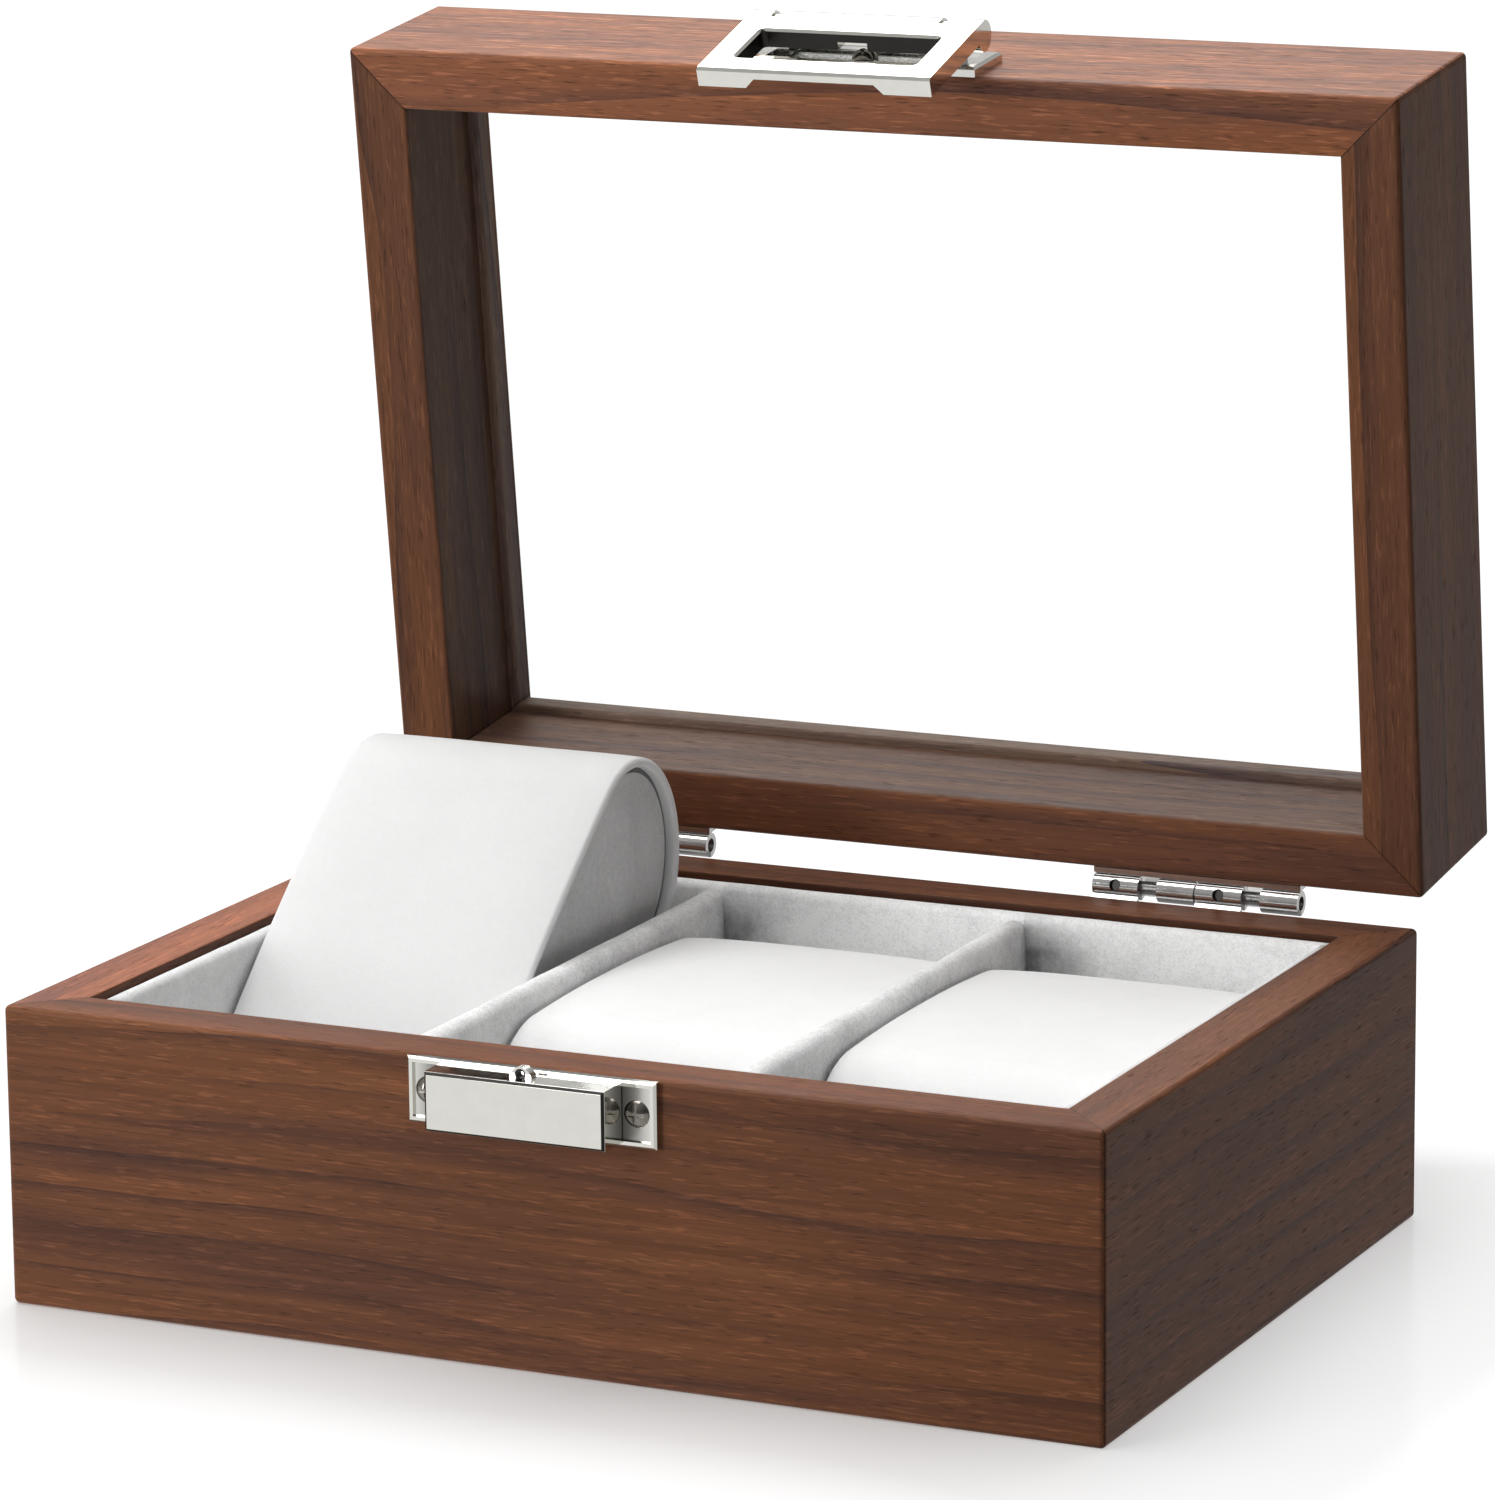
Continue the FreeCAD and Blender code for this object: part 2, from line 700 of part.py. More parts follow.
def hasp_pin():
    """The pivot pin through the ears and the frame's barrel."""
    reach = hasp_width / 2 - hasp_pin_inset
    return rod_along_x(hasp_pin_radius, -reach, reach, hasp_axis)


def pillow_arc(centre_y, centre_z, radius, start, end):
    """An arc of a pillow's outline in the YZ plane, between two angles from +Y."""
    points = []
    for turn in (start, (start + end) / 2, end):
        points.append(Vector(0, centre_y + radius * math.cos(turn), centre_z + radius * math.sin(turn)))
    return Part.Arc(*points).toShape()


def pillow_outline():
    """The pillow's side outline: crowned top, round ends and a shallow round underside."""
    half = pillow_length / 2
    shoulder = pillow_height - pillow_crown
    flat = half - pillow_top_radius
    middle = shoulder - pillow_top_radius
    side = half - pillow_side_radius
    under = (side**2 + middle**2 - pillow_side_radius**2) / (2 * (middle - pillow_side_radius))
    meet = math.atan2(middle - under, side)
    peak = Vector(0, 0, pillow_height)
    crown = Part.Arc(Vector(0, -flat, shoulder), peak, Vector(0, flat, shoulder)).toShape()
    edges = [
        crown,
        pillow_arc(flat, middle, pillow_top_radius, math.pi / 2, 0),
        pillow_arc(side, middle, pillow_side_radius, 0, meet),
        pillow_arc(0, under, under, meet, -math.pi - meet),
        pillow_arc(-side, middle, pillow_side_radius, -math.pi - meet, -math.pi),
        pillow_arc(-flat, middle, pillow_top_radius, math.pi, math.pi / 2),
    ]
    return Part.Wire(edges)


def drawn_along_x(outline, x_low, x_high):
    """A closed outline in the YZ plane drawn out between two places on X."""
    solid = Part.Face(outline).extrude(Vector(x_high - x_low, 0, 0))
    solid.translate(Vector(x_low, 0, 0))
    return solid


def pillow():
    """A pillow lying on its underside at the origin: band, foam core and end panels."""
    half = compartment_width / 2 - pillow_side_clearance
    panel_out = half - end_panel_recess
    panel_in = panel_out - end_panel_thickness
    outline = pillow_outline()
    inside = outline.makeOffset2D(-band_thickness)
    band = rounded(drawn_along_x(outline, -half, half), band_radius, lambda box: box.XLength < TOUCH)
    band = band.cut(drawn_along_x(inside, -half - MARGIN, half + MARGIN))
    panels = [drawn_along_x(inside, panel_in, panel_out), drawn_along_x(inside, -panel_out, -panel_in)]
    foam = drawn_along_x(inside, -panel_in, panel_in)
    return {"band": band, "foam": foam, "ends": Part.makeCompound(panels)}


def pillow_place(tilt):
    """Where a pillow's underside goes for a tilt, resting on the floor pad."""
    if tilt == 0:
        return Vector(0, pillow_offset, floor_level + pillow_seat_gap)
    turn = Rotation(RIGHT, tilt)
    points = [turn.multVec(point) for point in pillow_outline().discretize(Number=outline_points)]
    lowest = min(point.z for point in points)
    rearmost = max(point.y for point in points)
    return Vector(0, lined_depth / 2 - pillow_lean_gap - rearmost, floor_level + pillow_seat_gap - lowest)


def pillows():
    """The pillows: the left one propped up to face the front, the others lying flat."""
    nodes = {}
    for index, (name, tilt) in enumerate((("left", pillow_tilt), ("middle", 0), ("right", 0))):
        x = -lined_width / 2 + compartment_width / 2 + index * compartment_pitch
        place = Placement(pillow_place(tilt) + Vector(x, 0, 0), Rotation(RIGHT, tilt))
        for part, shape in pillow().items():
            shape.Placement = place.multiply(shape.Placement)
            nodes[f"pillow_{name}_{part}"] = shape
    return nodes


def base_hardware():
    """Keeper, catch and the base side of the hinges."""
    nodes = {
        "keeper": keeper(),
        "keeper_screws": screw_group(keeper_screw_seats(), FRONT, screw_head_radius, screw_head_height),
        "catch_nub": catch_nub(),
        "catch_spring": catch_spring(),
        "hinge_base_screws": screw_group(leaf_screw_seats(-1), BACK, screw_head_radius, screw_head_height),
    }
    for name, centre in hinge_centres().items():
        nodes[f"hinge_base_leaf_{name}"] = hinge_leaf(centre, -1)
        nodes[f"hinge_pin_{name}"] = hinge_pin(centre)
    return nodes


def lid_hardware():
    """Hasp and the lid side of the hinges."""
    seat = [hasp_screw_seat()]
    nodes = {
        "hasp_plate": hasp_plate(),
        "hasp_screw": screw_group(seat, FRONT, hasp_screw_head_radius, hasp_screw_head_height),
        "hasp_pin": hasp_pin(),
        "hasp_frame": hasp_frame(),
        "hinge_lid_screws": screw_group(leaf_screw_seats(1), BACK, screw_head_radius, screw_head_height),
    }
    for name, centre in hinge_centres().items():
        nodes[f"hinge_lid_leaf_{name}"] = hinge_leaf(centre, 1)
    return nodes


def main():
    """Build every piece and write it to its own file."""
    nodes = {**base_walls(), **base_bottom(), **lining(), **base_hardware(), **pillows()}
    closed_lid = {**lid_rails(), **lid_glass(), **glass_beads(), **lid_hardware()}
    nodes.update({name: opened(shape) for name, shape in closed_lid.items()})
    os.makedirs("parts", exist_ok=True)
    for name, shape in nodes.items():
        print(name, "valid" if shape.isValid() else "INVALID", len(shape.Solids), round(shape.Volume, 2))
        shape.exportStep(f"parts/{name}.step")
    print("nodes", len(nodes))
    print("hinge axis", tuple(round(value, 4) for value in hinge_axis))
    print("hasp axis", tuple(round(value, 4) for value in opened(Part.Vertex(hasp_axis)).Point))


main()
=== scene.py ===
import json
import math

import bmesh
import bpy
from mathutils import Matrix, Vector, noise


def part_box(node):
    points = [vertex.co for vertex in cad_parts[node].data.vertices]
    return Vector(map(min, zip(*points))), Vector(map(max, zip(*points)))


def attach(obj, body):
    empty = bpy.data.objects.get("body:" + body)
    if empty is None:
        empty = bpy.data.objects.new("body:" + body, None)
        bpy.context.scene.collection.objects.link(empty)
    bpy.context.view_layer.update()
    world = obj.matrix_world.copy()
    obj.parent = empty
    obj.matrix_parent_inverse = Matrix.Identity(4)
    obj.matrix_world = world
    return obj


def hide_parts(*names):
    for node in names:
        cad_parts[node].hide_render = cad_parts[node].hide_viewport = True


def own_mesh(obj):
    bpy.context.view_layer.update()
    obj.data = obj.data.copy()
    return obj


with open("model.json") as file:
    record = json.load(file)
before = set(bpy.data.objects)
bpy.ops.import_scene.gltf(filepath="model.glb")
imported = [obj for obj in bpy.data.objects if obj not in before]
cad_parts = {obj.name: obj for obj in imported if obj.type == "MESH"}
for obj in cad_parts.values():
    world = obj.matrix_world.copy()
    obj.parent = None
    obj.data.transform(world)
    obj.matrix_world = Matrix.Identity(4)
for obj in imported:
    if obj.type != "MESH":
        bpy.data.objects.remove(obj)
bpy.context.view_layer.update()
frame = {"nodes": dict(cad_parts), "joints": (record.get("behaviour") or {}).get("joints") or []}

# Metres, in the frame of the solid model: origin under the middle of the box, +Y to the hinges.
MM = 0.001

# How the case goes together, read from the frame
joints = {joint["name"]: joint for joint in frame["joints"]}
hinge_axis = Vector(joints["lid_hinge"]["pos_m"])
opening_angle = math.radians(-joints["lid_hinge"]["range_deg"][0])
case_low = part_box("base_left_wall")[0]
case_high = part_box("base_right_wall")[1]
half_width = case_high.x
half_depth = case_high.y
inner_half_width = -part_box("base_left_wall")[1].x
inner_half_depth = -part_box("base_front_wall")[1].y

# Side outline of a watch pillow, the same sizes as its solid
pillow_length = 90.0 * MM
pillow_height = 39.6 * MM
pillow_crown = 0.8 * MM
pillow_top_radius = 17.5 * MM
pillow_side_radius = 20.4 * MM
pillow_tilt = {"left": math.radians(40.4), "middle": 0.0, "right": 0.0}
band_thickness = 1.9 * MM
band_roll = 0.9 * MM
band_sag = 0.25 * MM
sag_power = 4
panel_recess = 1.6 * MM
panel_bulge = 0.35 * MM
panel_dive = 0.8 * MM
panel_tuck = 1.44 * MM
dome_power = 3
dive_power = 14
panel_hem = 2
panel_rings = 12
core_share = 0.55
core_height = pillow_height * 0.52
lip_steps = 8
face_steps = 14
outline_step = 1.6 * MM
fine_step = 0.4 * MM

# How the filling presses a pillow's cover out: worked at ten times the size, then brought back
swell_scale = 10.0
swell_pressure = 6.0
swell_frames = 20
swell_cap = 0.5 * MM

# The hasp plate's pocket, closed: half its width, and how far out its rim stands from the case
pocket_half_width = 18.1 * MM
pocket_rim = 1.7 * MM

# The hasp frame: how far it hangs from square, and its window measured from the pivot
hasp_pivot = Vector(joints["hasp_swing"]["pos_m"])
hasp_droop = math.radians(11.0)
window_half_width = 17.05 * MM
window_near = -7.15 * MM
window_far = -18.95 * MM

# Painted shade in the plating's hollows, which are also rougher there: staking dimples, the hinge tubes'
# undersides, the keeper's bevel and pockets, and round the nub's eye
barrel_radius = 2.25 * MM
base_knuckle = 9.0 * MM
tube_skin = 0.05 * MM
underside_shade_from = 0.3 * MM
underside_shade_to = 1.1 * MM
underside_shade_share = 0.75
dimple_angle = math.radians(165.0)
dimple_sink = 0.3 * MM
dimple_reach = 1.1 * MM
bevel_start = 0.03 * MM
bevel_end = 0.46 * MM
bevel_foot = 0.7 * MM
block_half_width = 16.3 * MM
pocket_floor = 1.1 * MM
pocket_shade = 0.85
eye_drop = 1.25 * MM
eye_reach = 1.0 * MM
recess_painted_shade = (0.040, 0.038, 0.036)
recess_haze = 0.3

# Plating: tints, how rough each finish is, and the cast grain left in the hasp plate's pocket
bright_tint = (0.87, 0.862, 0.805)
hinge_tint = (0.80, 0.79, 0.78)
casting_tint = (0.8, 0.79, 0.755)
screw_tint = (0.32, 0.30, 0.27)
pin_tint = (0.24, 0.235, 0.23)
spring_tint = (0.5, 0.5, 0.5)
bright_polish = 0.07
hinge_polish = 0.06
plating_relief = 0.02 * MM
cast_dark = (0.05, 0.05, 0.047)
cast_pale = (0.30, 0.30, 0.28)
cast_relief = 0.35 * MM

# Boards redder, paler or darker than the rest, partly their own tone and partly painted light and shade:
# the lid's front rail paler where it faces the light, its side rails darker in shade, the glass beads
# greyer with a painted sheen
even_tone = (1.0, 1.0, 1.0)
bead_sheen_tone = (1.20, 1.50, 1.80)
board_and_light_tones = {
    "base_front_wall": (0.87, 0.88, 0.89),
    "base_left_wall": (1.10, 1.08, 1.08),
    "lid_front_rail": (1.34, 1.32, 1.34),
    "lid_back_rail": (1.08, 1.10, 1.12),
    "lid_left_rail": (0.75, 0.77, 0.76),
    "lid_right_rail": (0.84, 0.88, 0.92),
    "glass_bead_front": bead_sheen_tone,
    "glass_bead_back": bead_sheen_tone,
    "glass_bead_left": bead_sheen_tone,
    "glass_bead_right": bead_sheen_tone,
}

# Walnut: its dull to warm patches, and the dark growth lines with their sway, in millimetres; how deep its
# pores are and how much its painted glints lighten it
walnut_patches = [
    (0.30, (0.118, 0.0480, 0.0290)),
    (0.45, (0.172, 0.0655, 0.0315)),
    (0.60, (0.206, 0.0760, 0.0325)),
    (0.74, (0.246, 0.0960, 0.0420)),
]
growth_colour = (0.060, 0.0285, 0.0230)
growth_spacing = 7.0
growth_sharpness = 3.6
growth_slant = 0.7
pore_depth = 0.34
glint_lift = 0.42
slow_sway_reach = 22.0
quick_sway_reach = 3.0
grain_step = Vector((137.0, 61.0, 29.0))
mitre_width = 0.35
wood_relief = 0.12 * MM
panel_pale = (0.34, 0.22, 0.14)

# Top edges given painted light, paler or redder than the face of their board where they catch the light
rim_painted_light = {
    "base_front_wall": (1.06, 0.87, 0.64),
    "base_left_wall": (1.46, 1.34, 1.44),
}
rim_edge = 0.12 * MM

# Inner faces: the walls' get painted shade, dark up to their top edge; the lid's get a painted sheen,
# greyer than its outside
inner_arris = 0.2 * MM
inner_painted_shade = (0.36, 0.32, 0.30)
lid_inner_painted_sheen = (0.95, 1.34, 1.86)

# How strongly the pores and the painted glints show: more on the lid's front rail, which faces the light;
# its front face also gets dark pore dashes and light dashes of painted glints
pore_and_glint_boost = {"lid_front_rail": 1.25}
even_pore_and_glint = 1.0
face_skin = 0.1 * MM
dash_along = 0.10
dash_across = 1.35
painted_glint_dash = (1.70, 1.78, 1.82)
dark_dash = (0.56, 0.53, 0.53)

# Velvet-covered boards
velvet_ripple = 0.16 * MM
ripple_slow = 0.07
ripple_quick = 0.3
ripple_share = 0.35
ripple_shift = 90
pillow_ripple = 0.05
pile_relief = 0.15 * MM
felt_relief = 0.3 * MM
felt_tint = (0.035, 0.028, 0.024)
board_step = 3.0 * MM
board_roll_steps = 6
lining_roll = 1.45 * MM
divider_roll = 2.0 * MM
pad_roll = 0.6 * MM
# Painted shadow on the back lining, to the right of each divider: where it starts, how far it reaches, how
# far down it goes, its margin below the top and its shade
shadow_start = 1.0 * MM
shadow_reach = 17.0 * MM
shadow_drop = 7.0 * MM
shadow_margin = 0.5 * MM
divider_shadow_shade = (0.28, 0.28, 0.28)
felt_roll = 0.25 * MM

# The coil spring under the catch nub
spring_wire = 0.25 * MM
spring_turns = 5
turn_steps = 24
wire_sides = 10

# The camera, from the viewing angle of the photograph
camera_turn = math.radians(25.38)
camera_rise = math.radians(12.53)
camera_roll = math.radians(-0.59)
camera_distance = 1198.5 * MM
camera_target = Vector((5.04, 0.0, 90.46)) * MM
camera_lens = 169.66
camera_sensor = 36.0
camera_near = 0.05
camera_far = 50.0

# The floor: how far it goes, how soon it turns white beyond the box, and how it brightens to the right
floor_reach = 4.0
floor_fade = 70.0 * MM
floor_drop = 0.02 * MM
floor_white = 1.1
surround_white = 1.2
pale_from = 60.0 * MM
pale_to = 130.0 * MM
pale_left = 0.22
pale_right = 0.6
bounce_from = -50.0 * MM
bounce_to = 160.0 * MM
bounce_left = 0.80
bounce_right = 0.26
gloss_from = 50.0 * MM
gloss_to = 150.0 * MM
gloss_lift = 0.3


# Shader node helpers

def add_node(tree, kind, inputs=None, **settings):
    """A shader node with its settings; each input is a value or another node's output."""
    node = tree.nodes.new("ShaderNode" + kind)
    for name, value in settings.items():
        setattr(node, name, value)
    for name, value in (inputs or {}).items():
        if isinstance(value, bpy.types.NodeSocket):
            tree.links.new(value, node.inputs[name])
        else:
            node.inputs[name].default_value = value
    return node


def calc(tree, operation, first, second=0.0):
    """A number worked out from one or two others."""
    return add_node(tree, "Math", {0: first, 1: second}, operation=operation).outputs[0]


def stretch(tree, vector, scale):
    """Coordinates multiplied axis by axis."""
    return add_node(tree, "VectorMath", {0: vector, 1: scale}, operation="MULTIPLY").outputs[0]


def cloud(tree, vector, scale, detail=2.0, roughness=0.5, distortion=0.0):
    """Soft noise between 0 and 1."""
    inputs = {"Vector": vector, "Scale": scale, "Detail": detail}
    inputs.update({"Roughness": roughness, "Distortion": distortion})
    return add_node(tree, "TexNoise", inputs).outputs["Fac"]


def figure(tree, grain, along, across, detail, roughness=0.5, distortion=0.0):
    """Noise drawn out along the grain."""
    return cloud(tree, stretch(tree, grain, (along, across, across)), 1.0, detail, roughness, distortion)


def remap(tree, value, low, high, to_low, to_high, smooth=False):
    """A number carried from one range to another and held at its ends."""
    inputs = {"Value": value, "From Min": low, "From Max": high, "To Min": to_low, "To Max": to_high}
    style = "SMOOTHSTEP" if smooth else "LINEAR"
    return add_node(tree, "MapRange", inputs, interpolation_type=style).outputs["Result"]


def ramp(tree, value, stops):
    """A colour read from a value by a row of stops."""
    node = add_node(tree, "ValToRGB", {"Fac": value})
    elements = node.color_ramp.elements
    while len(elements) < len(stops):
        elements.new(0.5)
    for element, (position, colour) in zip(elements, stops):
        element.position = position
        element.color = (*colour, 1.0)
    return node.outputs["Color"]


def blend_colour(tree, share, first, second, style="MIX"):
    """Two colours mixed."""
    node = add_node(tree, "Mix", data_type="RGBA", blend_type=style)
    for index, value in ((0, share), (6, first), (7, second)):
        if isinstance(value, bpy.types.NodeSocket):
            tree.links.new(value, node.inputs[index])
        elif index == 0:
            node.inputs[index].default_value = value
        else:
            node.inputs[index].default_value = (*value, 1.0)
    return node.outputs[2]


def new_group(name, inputs, outputs):
    """An empty shader group with named sockets."""
    tree = bpy.data.node_groups.new(name, "ShaderNodeTree")
    for label, kind, value in inputs:
        socket = tree.interface.new_socket(label, in_out="INPUT", socket_type=kind)
        if value is not None:
            socket.default_value = value
    for label, kind in outputs:
        tree.interface.new_socket(label, in_out="OUTPUT", socket_type=kind)
    return tree, tree.nodes.new("NodeGroupInput").outputs, tree.nodes.new("NodeGroupOutput").inputs


def place_group(tree, group, inputs):
    """A group set into a material."""
    node = tree.nodes.new("ShaderNodeGroup")
    node.node_tree = group
    for name, value in inputs.items():
        if isinstance(value, bpy.types.NodeSocket):
            tree.links.new(value, node.inputs[name])
        else:
            node.inputs[name].default_value = value
    return node.outputs


def new_material(name, **values):
    """A material with a Principled shader whose even values are set on its own sockets."""
    material = bpy.data.materials.new(name)
    material.use_nodes = True
    tree = material.node_tree
    shader = tree.nodes["Principled BSDF"]
    for label, value in values.items():
        shader.inputs[label.replace("_", " ")].default_value = value
    return material, tree, shader


def millimetres(tree):
    """The piece's own coordinates in millimetres."""
    place = add_node(tree, "TexCoord").outputs["Object"]
    return stretch(tree, place, (1 / MM,) * 3)


def bump(tree, shader, height, strength, distance):
    """Relief from a height."""
    inputs = {"Strength": strength, "Distance": distance, "Height": height}
    tree.links.new(add_node(tree, "Bump", inputs).outputs["Normal"], shader.inputs["Normal"])


# Shared surface effects

def walnut_grain_group():
    """Walnut along X: warm and dull patches, growth lines that fade on one side, fibre, open pores and
    painted glints.
    """
    tree, given, made = new_group(
        "walnut_grain",
        [
            ("Vector", "NodeSocketVector", None),
            ("Mitre", "NodeSocketFloat", 0.0),
            ("Tone", "NodeSocketColor", (1.0, 1.0, 1.0, 1.0)),
            ("Pores_and_glints", "NodeSocketFloat", 1.0),
        ],
        [("Color", "NodeSocketColor"), ("Roughness", "NodeSocketFloat"), ("Height", "NodeSocketFloat")],
    )
    grain = given["Vector"]
    slow_sway = calc(tree, "SUBTRACT", figure(tree, grain, 0.006, 0.011, 1.0), 0.5)
    quick_sway = calc(tree, "SUBTRACT", figure(tree, grain, 0.016, 0.10, 2.0), 0.5)
    slow_sway = calc(tree, "MULTIPLY", slow_sway, slow_sway_reach)
    quick_sway = calc(tree, "MULTIPLY", quick_sway, quick_sway_reach)
    sway = calc(tree, "ADD", slow_sway, quick_sway)
    split = add_node(tree, "SeparateXYZ", {0: grain})
    across = calc(tree, "ADD", calc(tree, "MULTIPLY", split.outputs["Y"], growth_slant), split.outputs["Z"])
    ring = calc(tree, "FRACT", calc(tree, "DIVIDE", calc(tree, "ADD", across, sway), growth_spacing))
    line = calc(tree, "POWER", ring, growth_sharpness)
    presence = figure(tree, grain, 0.008, 0.10, 2.0)
    line = calc(tree, "MULTIPLY", line, remap(tree, presence, 0.38, 0.64, 0.06, 0.78))
    patch = figure(tree, grain, 0.007, 0.085, 3.0, 0.6, 0.4)
    streak = figure(tree, grain, 0.014, 0.75, 3.0, 0.6)
    fibre = figure(tree, grain, 0.06, 3.0, 2.0, 0.6)
    pore = remap(tree, figure(tree, grain, 0.20, 2.7, 1.0), 0.62, 0.70, 0.0, 1.0)
    # Glints: painted highlights along the grain, where pores catch the light
    glint = remap(tree, figure(tree, grain, 0.20, 2.2, 1.0), 0.60, 0.68, 0.0, 1.0)
    colour = blend_colour(tree, line, ramp(tree, patch, walnut_patches), growth_colour)
    shade = remap(tree, streak, 0.25, 0.75, 0.80, 1.16)
    shade = calc(tree, "MULTIPLY", shade, remap(tree, fibre, 0.2, 0.8, 0.88, 1.10))
    dark_pore = calc(tree, "MULTIPLY", calc(tree, "MULTIPLY", pore, pore_depth), given["Pores_and_glints"])
    light_glint = calc(tree, "MULTIPLY", calc(tree, "MULTIPLY", glint, glint_lift), given["Pores_and_glints"])
    shade = calc(tree, "MULTIPLY", shade, calc(tree, "SUBTRACT", 1.0, dark_pore))
    shade = calc(tree, "MULTIPLY", shade, calc(tree, "ADD", 1.0, light_glint))
    shade = calc(tree, "MULTIPLY", shade, remap(tree, given["Mitre"], 0.0, 1.0, 1.0, 0.45))
    grey = add_node(tree, "CombineColor", {"Red": shade, "Green": shade, "Blue": shade}).outputs[0]
    colour = blend_colour(tree, 1.0, colour, given["Tone"], "MULTIPLY")
    tree.links.new(blend_colour(tree, 1.0, colour, grey, "MULTIPLY"), made["Color"])
    rough = calc(tree, "ADD", remap(tree, fibre, 0.2, 0.8, 0.36, 0.48), calc(tree, "MULTIPLY", pore, 0.15))
    tree.links.new(rough, made["Roughness"])
    relief = calc(tree, "SUBTRACT", calc(tree, "MULTIPLY", fibre, 0.35), pore)
    tree.links.new(calc(tree, "SUBTRACT", relief, given["Mitre"]), made["Height"])
    return tree


def velvet_nap_group():
    """Short pile: brushed patches, fine mottling and tiny relief."""
    tree, given, made = new_group(
        "velvet_nap",
        [
            ("Vector", "NodeSocketVector", None),
            ("Tint", "NodeSocketColor", (0.8, 0.8, 0.8, 1.0)),
            ("Brushed", "NodeSocketFloat", 1.0),
        ],
        [("Color", "NodeSocketColor"), ("Height", "NodeSocketFloat")],
    )
    patch = cloud(tree, given["Vector"], 0.06, 3.0, 0.55, 0.8)
    mottle = cloud(tree, given["Vector"], 0.7, 3.0, 0.6)
    pile = cloud(tree, given["Vector"], 2.6, 2.0, 0.7)
    strokes = remap(tree, patch, 0.3, 0.7, -0.07, 0.05)
    strokes = calc(tree, "ADD", strokes, remap(tree, mottle, 0.25, 0.75, -0.05, 0.04))
    shade = calc(tree, "ADD", calc(tree, "MULTIPLY", strokes, given["Brushed"]), 1.0)
    speckle = calc(tree, "MULTIPLY", remap(tree, pile, 0.25, 0.75, -0.10, 0.08), given["Brushed"])
    shade = calc(tree, "ADD", shade, speckle)
    grey = add_node(tree, "CombineColor", {"Red": shade, "Green": shade, "Blue": shade}).outputs[0]
    tree.links.new(blend_colour(tree, 1.0, given["Tint"], grey, "MULTIPLY"), made["Color"])
    tree.links.new(calc(tree, "ADD", pile, calc(tree, "MULTIPLY", mottle, 0.8)), made["Height"])
    return tree


def plating_marks_group():
    """Polished plating: faint clouding and hairlines."""
    tree, given, made = new_group(
        "plating_marks",
        [
            ("Vector", "NodeSocketVector", None),
            ("Polish", "NodeSocketFloat", 0.08),
            ("Tint", "NodeSocketColor", (0.8, 0.8, 0.8, 1.0)),
        ],
        [("Roughness", "NodeSocketFloat"), ("Height", "NodeSocketFloat"), ("Color", "NodeSocketColor")],
    )
    haze = cloud(tree, given["Vector"], 0.35, 3.0, 0.6)
    hair = cloud(tree, stretch(tree, given["Vector"], (0.5, 9.0, 9.0)), 1.0, 2.0, 0.7)
    spread = remap(tree, haze, 0.3, 0.7, 0.6, 1.7)
    tree.links.new(calc(tree, "MULTIPLY", given["Polish"], spread), made["Roughness"])
    tree.links.new(calc(tree, "ADD", haze, calc(tree, "MULTIPLY", hair, 0.3)), made["Height"])
    bloom = ramp(tree, haze, [(0.3, (0.96, 0.96, 0.96)), (0.7, (1.0, 1.0, 1.0))])
    tree.links.new(blend_colour(tree, 1.0, given["Tint"], bloom, "MULTIPLY"), made["Color"])
    return tree


walnut_grain = walnut_grain_group()
velvet_nap = velvet_nap_group()
plating_marks = plating_marks_group()


# Finishes

def closed_case_place(tree, on_lid):
    """Millimetres in the closed box, so that the lid's grain and mitres follow its rails."""
    place = millimetres(tree)
    if not on_lid:
        return place
    turn = Matrix.Rotation(opening_angle, 3, "X")
    shift = (hinge_axis - turn @ hinge_axis) / MM
    inputs = {"Vector": place, "Location": shift, "Rotation": (opening_angle, 0.0, 0.0)}
    return add_node(tree, "Mapping", inputs).outputs[0]


def mitre_line(tree, place):
    """The thin seam where two rails meet on the corner diagonal."""
    split = add_node(tree, "SeparateXYZ", {0: place})
    across = calc(tree, "ABSOLUTE", split.outputs["X"])
    along = calc(tree, "ABSOLUTE", split.outputs["Y"])
    offset = (half_width - half_depth) / MM
    off_line = calc(tree, "ABSOLUTE", calc(tree, "SUBTRACT", calc(tree, "SUBTRACT", across, along), offset))
    return remap(tree, off_line, 0.0, mitre_width, 1.0, 0.0, smooth=True)


def inner_faces(tree, place):
    """The inner faces of the walls, or of the lid's rails."""
    split = add_node(tree, "SeparateXYZ", {0: place})
    across = calc(tree, "ABSOLUTE", split.outputs["X"])
    along = calc(tree, "ABSOLUTE", split.outputs["Y"])
    within_width = calc(tree, "LESS_THAN", across, (inner_half_width + inner_arris) / MM)
    within_depth = calc(tree, "LESS_THAN", along, (inner_half_depth + inner_arris) / MM)
    return calc(tree, "MULTIPLY", within_width, within_depth)


def rim_faces(tree, place):
    """The flat top edges of the walls."""
    split = add_node(tree, "SeparateXYZ", {0: place})
    return calc(tree, "GREATER_THAN", split.outputs["Z"], (case_high.z - rim_edge) / MM)


def front_pores_and_glints(tree, place, grain, colour):
    """Open pores on the front face along the grain: dark dashes, and light dashes that are painted glints.
    """
    split = add_node(tree, "SeparateXYZ", {0: place})
    on_face = calc(tree, "LESS_THAN", split.outputs["Y"], (face_skin - half_depth) / MM)
    dashes = figure(tree, grain, dash_along, dash_across, 2.0, 0.6)
    light = calc(tree, "MULTIPLY", on_face, remap(tree, dashes, 0.56, 0.66, 0.0, 1.0))
    dark = calc(tree, "MULTIPLY", on_face, remap(tree, dashes, 0.34, 0.44, 1.0, 0.0))
    colour = blend_colour(tree, light, colour, painted_glint_dash, "MULTIPLY")
    return blend_colour(tree, dark, colour, dark_dash, "MULTIPLY")


